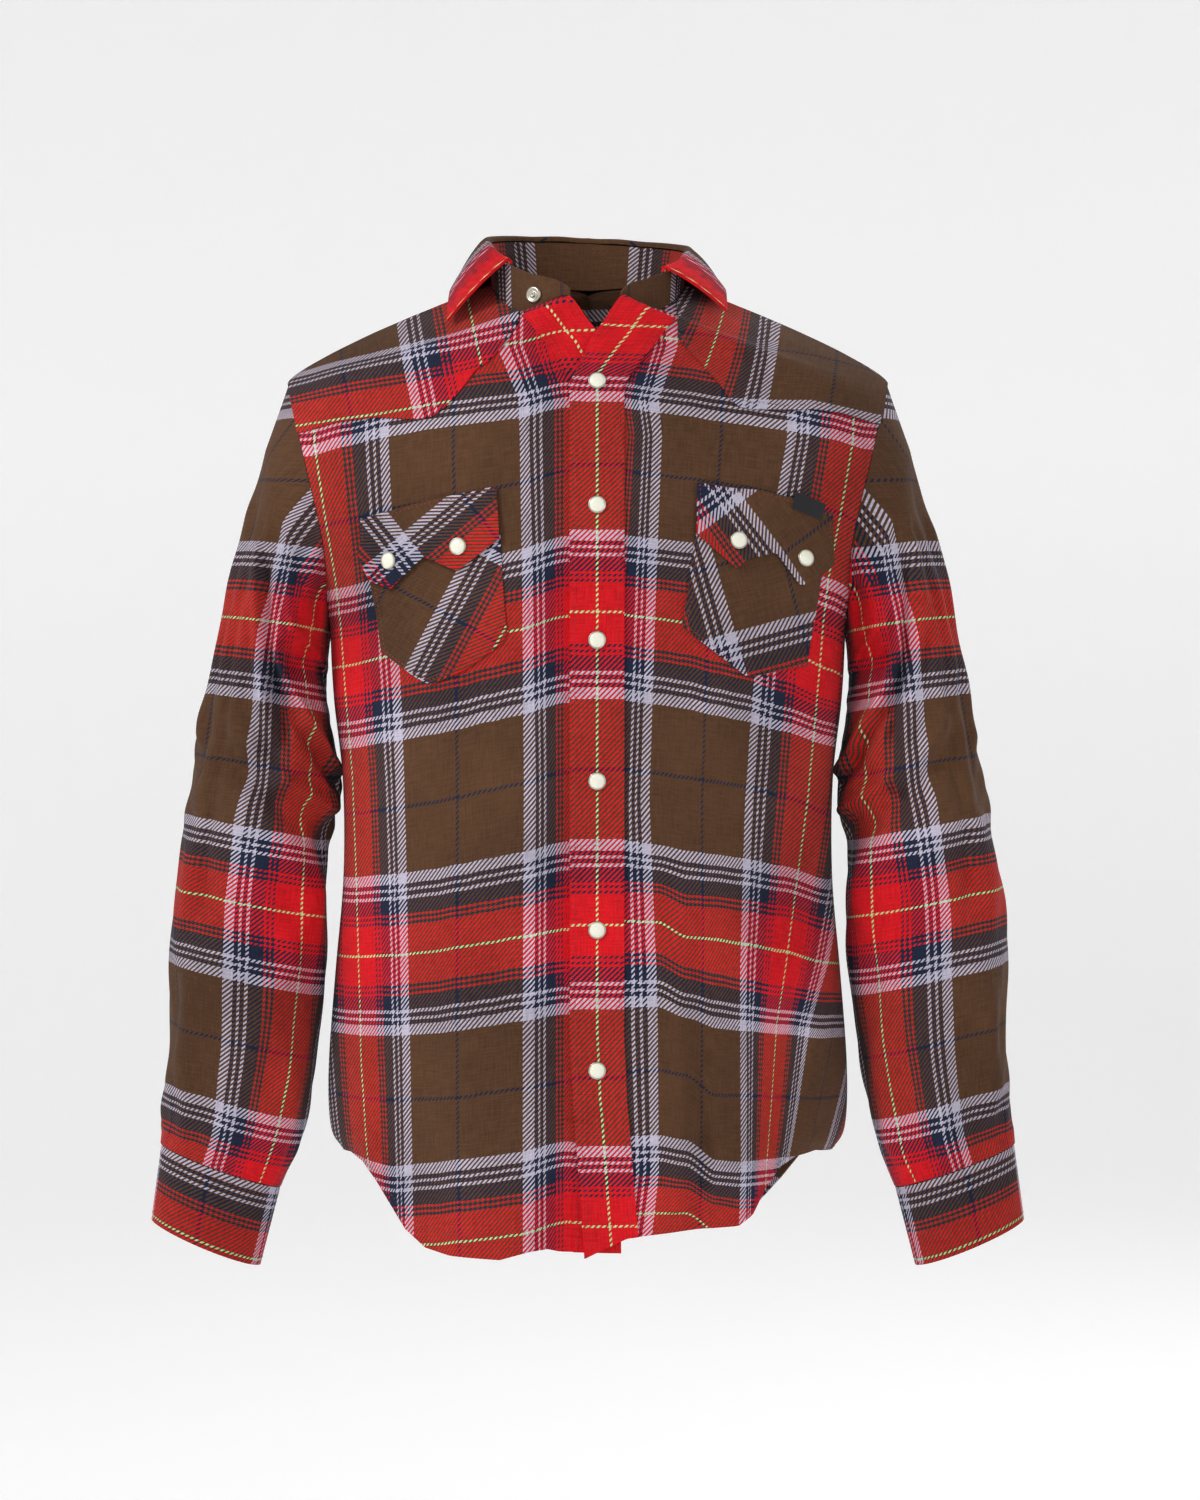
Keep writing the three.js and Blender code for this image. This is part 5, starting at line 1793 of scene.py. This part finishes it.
@dataclass
class Snap:
    """A pearl snap: a steel rim and a domed pearl cap, or the bare ring half."""

    centre: Array
    axis: Array

    def capped(self) -> MeshData:
        """A rolled rim of 6.3 mm radius with the cap's dome, a quarter of an ellipse, inside it.

        Returns:
            The mesh, the dome in finish 0 and the rim in finish 1.
        """
        rim = ((6.0, -0.3), (6.2, 0), (6.3, 0.5), (6.15, 0.95), (5.8, 1.15), (5.45, 1.05), (5.3, 0.8))
        angle = np.linspace(0, math.pi / 2, 12)
        cap = [(5.32 * math.cos(a), 0.8 + 1.6 * math.sin(a)) for a in angle]
        return joined([
            turned_profile(rim, self.centre, self.axis, 1),
            turned_profile(cap, self.centre, self.axis, 0),
        ])

    def ring(self) -> MeshData:
        """The bare half: a flange, a raised ring and a socket in its middle.

        Returns:
            The mesh, all in finish 1.
        """
        shape = (
            (6.1, -0.3), (6.25, 0.2), (6.1, 0.8), (5.5, 1.35), (4.9, 1.6), (4.3, 1.45), (3.7, 1.0),
            (2.6, 0.9), (2.1, 1.1), (1.95, 1.9), (1.6, 2.25), (1.1, 2.3), (0.8, 1.9), (0.02, 1.7),
        )
        return turned_profile(shape, self.centre, self.axis, 1)


@dataclass
class Stitching:
    """Runs of sewing thread, each stitch a small ridge of two faces that lies on the cloth."""

    pitch: float = 3.2
    length: float = 2.3
    width: float = 0.55
    runs: list[MeshData] = field(default_factory=list)

    def sew(self, path: Array, out: Array, lift: float) -> None:
        """Sew along a path: stitches at even steps, along the path and on its normals.

        Args:
            path: Points of the path.
            out: The cloth's normals there.
            lift: How far the thread lies from the path.
        """
        distance = run_length(path)
        count = max(2, int(distance[-1] / self.pitch))
        place = (np.arange(count) + 0.5) * self.pitch
        place = place[place < distance[-1]]

        def sample(values: Array, at: Array) -> Array:
            """Values at lengths along the path."""
            return np.stack([np.interp(at, distance, values[:, k]) for k in range(3)], -1)

        centre = sample(path, place) + unit(sample(out, place)) * lift
        way = unit(sample(path, place + 0.5) - sample(path, place - 0.5))
        up = unit(sample(out, place))
        side = unit(np.cross(way, up))
        half, wide = self.length / 2, self.width / 2
        near, far = way * half * 0.6, side * wide
        corners = np.stack([
            centre - near - far + up * 0.05, centre + near - far + up * 0.05,
            centre + near * 0.8 + up * 0.3, centre - near * 0.8 + up * 0.3,
            centre + near + far + up * 0.05, centre - near + far + up * 0.05,
        ], 1)
        quads = np.array([[0, 1, 2, 3], [4, 5, 3, 2]])
        points = corners.reshape(-1, 3)
        start = np.arange(len(place))[:, None, None] * 6
        faces = (quads[None] + start).reshape(-1, 4)
        self.runs.append(MeshData(points, faces, np.stack([points[:, 0] + points[:, 1], points[:, 2]], -1)))

    def build(self, name: str, finish: bpy.types.Material) -> bpy.types.Object:
        """Make one object of all runs."""
        return new_object(name, joined(self.runs), [finish], 80)


@dataclass
class Shirt:
    finishes: Finishes
    fronts: FrontPanels = field(default_factory=FrontPanels)
    back: BackPanel = field(default_factory=BackPanel)
    stitching: Stitching = field(default_factory=Stitching)

    def place(self, obj: bpy.types.Object, slot: str, *nodes: str) -> None:
        """Let a piece ride on the shirt and stand for its solids.

        Args:
            obj: The piece.
            slot: Not used.
            nodes: The solids that it stands for.
        """
        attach(obj, "root")
        if nodes:
            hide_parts(*nodes)
        LOG.info("%s: %d faces", obj.name, len(obj.data.polygons))

    def cloth(
        self, name: str, parts: Sequence[MeshData], node: str,
    ) -> None:
        """Args:
            name: The piece.
            parts: Its meshes.
            node: The solid that it stands for.
        """
        obj = new_object(name, joined(parts), [self.finishes.flannel])
        if len(parts) > 1:
            weld(obj)
        self.place(obj, "flannel", node)

    def panels(self) -> None:
        """Make the fronts and the back."""
        for side, word in SIDES:
            surface = self.fronts.panel(side)
            self.cloth(
                f"front_{word}_cloth", [surface.shell(-CLOTH, CLOTH)], f"front_{word}",
            )
            self.stitching.sew(surface.points[8], surface.out[8], 0.1)
        halves = [self.back.panel(side) for side in (RIGHT, LEFT)]
        shells = [half.shell(-CLOTH, CLOTH) for half in halves]
        self.cloth("back_cloth", shells, "back")

    def bands(self) -> None:
        """Make the placket and the band under it."""
        for side, name in ((RIGHT, "under_band"), (LEFT, "placket_band")):
            surface = self.fronts.band(side)
            lift = GAP + 0 * surface.uv[..., 0]
            if side == LEFT:
                # The placket's free edge stands off a little
                lift = lift + 1.5 * (1 - ease(np.linspace(0, 1, self.fronts.band_columns) * 3))
            self.cloth(
                f"{name}_cloth", [surface.shell(lift, LAYER)], name,
            )
            for column in (2, -3):
                over = float(lift[0, column]) + LAYER
                self.stitching.sew(surface.points[:, column], surface.out[:, column], over)

    def yokes(self) -> None:
        """Make the front and back yokes."""
        for side, word in SIDES:
            surface = self.fronts.yoke(side)
            self.cloth(
                f"yoke_front_{word}_cloth", [surface.shell(GAP, LAYER)], f"yoke_front_{word}",
            )
            self.stitching.sew(surface.points[2], surface.out[2], GAP + LAYER)
        halves = [self.back.yoke(side) for side in (RIGHT, LEFT)]
        shells = [half.shell(GAP, LAYER) for half in halves]
        self.cloth("yoke_back_cloth", shells, "yoke_back")
        for half in halves:
            self.stitching.sew(half.points[2], half.out[2], GAP + LAYER)

    def pockets(self) -> None:
        """Make the pockets, their flaps and the woven tab."""
        for side, word in SIDES:
            pocket = self.fronts.patch(side, POCKET_OUTLINES[side], (60, 60), POCKET_PLAIDS[side])
            self.cloth(
                f"pocket_{word}_cloth", [pocket.shell(GAP, LAYER)], f"pocket_{word}",
            )
            for line in ((slice(None), 2), (slice(None), -3), (-3, slice(None))):
                self.stitching.sew(pocket.points[line], pocket.out[line], GAP + LAYER)
            flap = self.fronts.patch(side, FLAP_OUTLINES[side], (40, 90), FLAP_PLAIDS[side])
            # The flap stands off the pocket, more towards its points
            hang = 1.8 + 1.4 * np.linspace(0, 1, 40)[:, None] ** 2 + 0 * flap.points[..., 0]
            self.cloth(
                f"flap_{word}_cloth", [flap.shell(hang, LAYER)], f"flap_{word}",
            )
            for line in ((2, slice(None)), (-3, slice(None)), (slice(None), 2), (slice(None), -3)):
                self.stitching.sew(flap.points[line], flap.out[line], 1.8 + LAYER + 0.2)
            half = self.fronts.half(side)
            for i, (x, z) in enumerate(FLAP_SNAPS[side]):
                self.snap_on_front(f"snap_flap_{word}_{i + 1}", half, x, z, 4.0)
        tab = self.fronts.patch(LEFT, TAB_OUTLINE, (14, 24), TurnedPlaid(-18, 150, -165, 0, 0))
        obj = new_object("label_tab_tape", tab.shell(3.3, 1.0), [self.finishes.tab])
        self.place(obj, "woven_tab", "label_tab")

    def snap(self, name: str, snap: Snap, bare: bool = False) -> None:
        """Make a snap in the place of its solid.

        Args:
            name: The solid.
            snap: Its centre and axis.
            bare: Whether it is the ring half with no cap.
        """
        data = snap.ring() if bare else snap.capped()
        obj = new_object(f"{name}_finish", data, [self.finishes.pearl, self.finishes.steel], 60)
        self.place(obj, "snap_steel" if bare else "snap_pearl", name)

    def snap_on_front(self, name: str, half: Half, x: float, z: float, lift: float) -> None:
        """Make a snap on a front at a place of the front view.

        Args:
            name: Its solid.
            half: The front.
            x: Distance from the centre plane.
            z: Height.
            lift: How far its seat is from the front.
        """
        step = np.array([-2.0, 0.0, 2.0])
        xs, zs = x + step[None, :] + 0 * step[:, None], z + step[:, None] + 0 * step[None, :]
        surface = Surface(half.point(half.row_at(xs, zs), xs), np.zeros((3, 3, 2)), np.array([0, -1.0, 0]))
        self.snap(name, Snap(surface.points[1, 1] + surface.out[1, 1] * lift, surface.out[1, 1]))

    def snap_nearby(self, name: str, surface: Surface, bare: bool = False) -> None:
        """Make a snap on a surface, at the point nearest to the middle of its solid.

        Args:
            name: Its solid.
            surface: The surface.
            bare: Whether it is the ring half with no cap.
        """
        low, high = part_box(name)
        near = surface.points - np.array(low + high) / 2 / MM
        k = np.unravel_index(np.argmin(np.sum(near**2, axis=-1)), near.shape[:2])
        self.snap(name, Snap(surface.points[k] + surface.out[k] * 0.3, surface.out[k]), bare)

    def front_snaps(self) -> None:
        """Make the six snaps down the placket."""
        for i, z in enumerate(SNAP_HEIGHTS):
            self.snap_on_front(f"snap_front_{i + 1}", self.fronts.left, PLACKET_X, z, GAP + LAYER + 0.3)

    def collar(self) -> None:
        """Make the stand, the leaf and the bare snap on the stand."""
        backs = {side: self.back.half(side) for side in (RIGHT, LEFT)}
        collar = Collar({RIGHT: self.fronts.right, LEFT: self.fronts.left}, backs)
        stand = collar.stand()
        wall = stand.shell(-STIFF, STIFF)
        self.cloth("collar_stand_cloth", [wall], "collar_stand")
        leaf = collar.leaf()
        self.cloth(
            "collar_leaf_cloth", [leaf.shell(-1.0, 2.0)], "collar_leaf",
        )
        for line in ((-4, slice(4, -4)), (slice(14, -4), 4), (slice(14, -4), -5)):
            self.stitching.sew(leaf.points[line], leaf.out[line], 1.0)
        self.snap_nearby("snap_collar", stand, bare=True)

    def sleeves(self) -> None:
        """Make the sleeves, vent bands, cuffs and cuff snaps."""
        for side, word in SIDES:
            sleeve = Sleeve(side, self.fronts.half(side), self.back.half(side))
            surface = sleeve.surface()
            self.cloth(
                f"sleeve_{word}_cloth", [surface.shell(-CLOTH, CLOTH)], f"sleeve_{word}",
            )
            vent = sleeve.vent()
            self.cloth(
                f"sleeve_band_{word}_cloth", [vent.shell(GAP, LAYER)], f"sleeve_band_{word}",
            )
            cuff = sleeve.cuff()
            self.cloth(
                f"cuff_{word}_cloth", [cuff.shell(-STIFF, STIFF)], f"cuff_{word}",
            )
            for row in (3, -4):
                self.stitching.sew(cuff.points[row], cuff.out[row], 0.1)
            self.snap_nearby(f"snap_cuff_{word}", cuff)

    def sewing(self) -> None:
        """Make the thread of all the runs."""
        obj = self.stitching.build("sewing_thread", self.finishes.thread)
        self.place(obj, "flannel")


@dataclass
class Studio:
    """The pale floor and wall, the soft lights and the camera, in metres."""

    floor_z: float = -1.2
    level: float = 4.0
    bend: float = 1.6
    wall: float = 6.0
    glow: float = 0.21
    sky: float = 0.27
    aim: tuple[float, float, float] = (0.0, 0.0, -0.35)
    camera_place: tuple[float, float, float] = (0.009, -2.4, -0.343)
    lens: float = 77.84

    def build(self) -> None:
        """Make the floor, lights, surroundings and camera."""
        self.floor()
        self.light("key_light", (-2.1, -1.7, 1.6), 0.9, 52)
        self.light("fill_light", (2.0, -2.4, 0.5), 2.2, 7)
        self.light("back_light", (1.7, 1.8, 1.5), 1.0, 30)
        world = bpy.data.worlds.new("studio")
        world.use_nodes = True
        shade = world.node_tree.nodes["Background"]
        shade.inputs["Color"].default_value = (0.93, 0.93, 0.93, 1)
        shade.inputs["Strength"].default_value = self.sky
        bpy.context.scene.world = world
        bpy.context.scene.view_settings.view_transform = "Standard"
        data = bpy.data.cameras.new("camera")
        data.lens = self.lens
        data.sensor_width = 36
        data.clip_end = 50
        camera = bpy.data.objects.new("camera", data)
        camera.location = self.camera_place
        camera.rotation_euler = (math.pi / 2, 0, 0)
        bpy.context.scene.collection.objects.link(camera)
        bpy.context.scene.camera = camera

    def floor(self) -> None:
        """Make the floor: a level round, then a quarter turn up into a wall all round."""
        angle = np.linspace(0, math.pi / 2, 20)[1:]
        outer = self.level + self.bend * np.sin(angle)
        radius = np.concatenate([[0.01, self.level / 2, self.level], outer, [self.level + self.bend]])
        rise = self.bend * (1 - np.cos(angle))
        z = np.concatenate([[0.0, 0.0, 0.0], rise, [self.wall]]) + self.floor_z
        turn = np.linspace(0, 2 * math.pi, 97)
        x, y = radius[:, None] * np.cos(turn), radius[:, None] * np.sin(turn)
        points = np.stack([x, y, np.broadcast_to(z[:, None], x.shape)], -1)
        rows, columns = x.shape
        index = np.arange(rows * columns).reshape(rows, columns)
        faces = np.stack([index[:-1, :-1], index[1:, :-1], index[1:, 1:], index[:-1, 1:]], -1).reshape(-1, 4)
        # Matt backdrop paper with an even glow, so that the ground is pale from every side
        material, shader = new_material("pale_paper")
        shader.inputs["Base Color"].default_value = srgb("F2F2F2")
        shader.inputs["Roughness"].default_value = 0.9
        shader.inputs["Emission Color"].default_value = srgb("FFFFFF")
        shader.inputs["Emission Strength"].default_value = self.glow
        data = MeshData(points.reshape(-1, 3) / MM, faces, points.reshape(-1, 3)[:, :2])
        new_object("floor", data, [material])

    def light(self, name: str, place: tuple[float, float, float], size: float, power: float) -> None:
        """Add an area light that points at the shirt's middle.

        Args:
            name: The light's name.
            place: Where it is.
            size: The width of its disk.
            power: Its power in watts.
        """
        data = bpy.data.lights.new(name, "AREA")
        data.shape = "DISK"
        data.size = size
        data.energy = power
        obj = bpy.data.objects.new(name, data)
        obj.location = place
        way = np.array(self.aim) - np.array(place)
        flat = math.hypot(way[0], way[1])
        obj.rotation_euler = (math.atan2(flat, -way[2]), 0, math.atan2(-way[0], way[1]))
        bpy.context.scene.collection.objects.link(obj)


def main() -> None:
    """Build the studio and the shirt, piece by piece."""
    logging.basicConfig(level=logging.INFO, format="%(name)s %(message)s")
    Studio().build()
    shirt = Shirt(Finishes.make())
    steps: tuple[Callable[[], None], ...] = (
        shirt.panels, shirt.bands, shirt.yokes, shirt.pockets, shirt.front_snaps, shirt.collar,
        shirt.sleeves, shirt.sewing,
    )
    for step in steps:
        step()


if __name__ == "__main__":
    main()
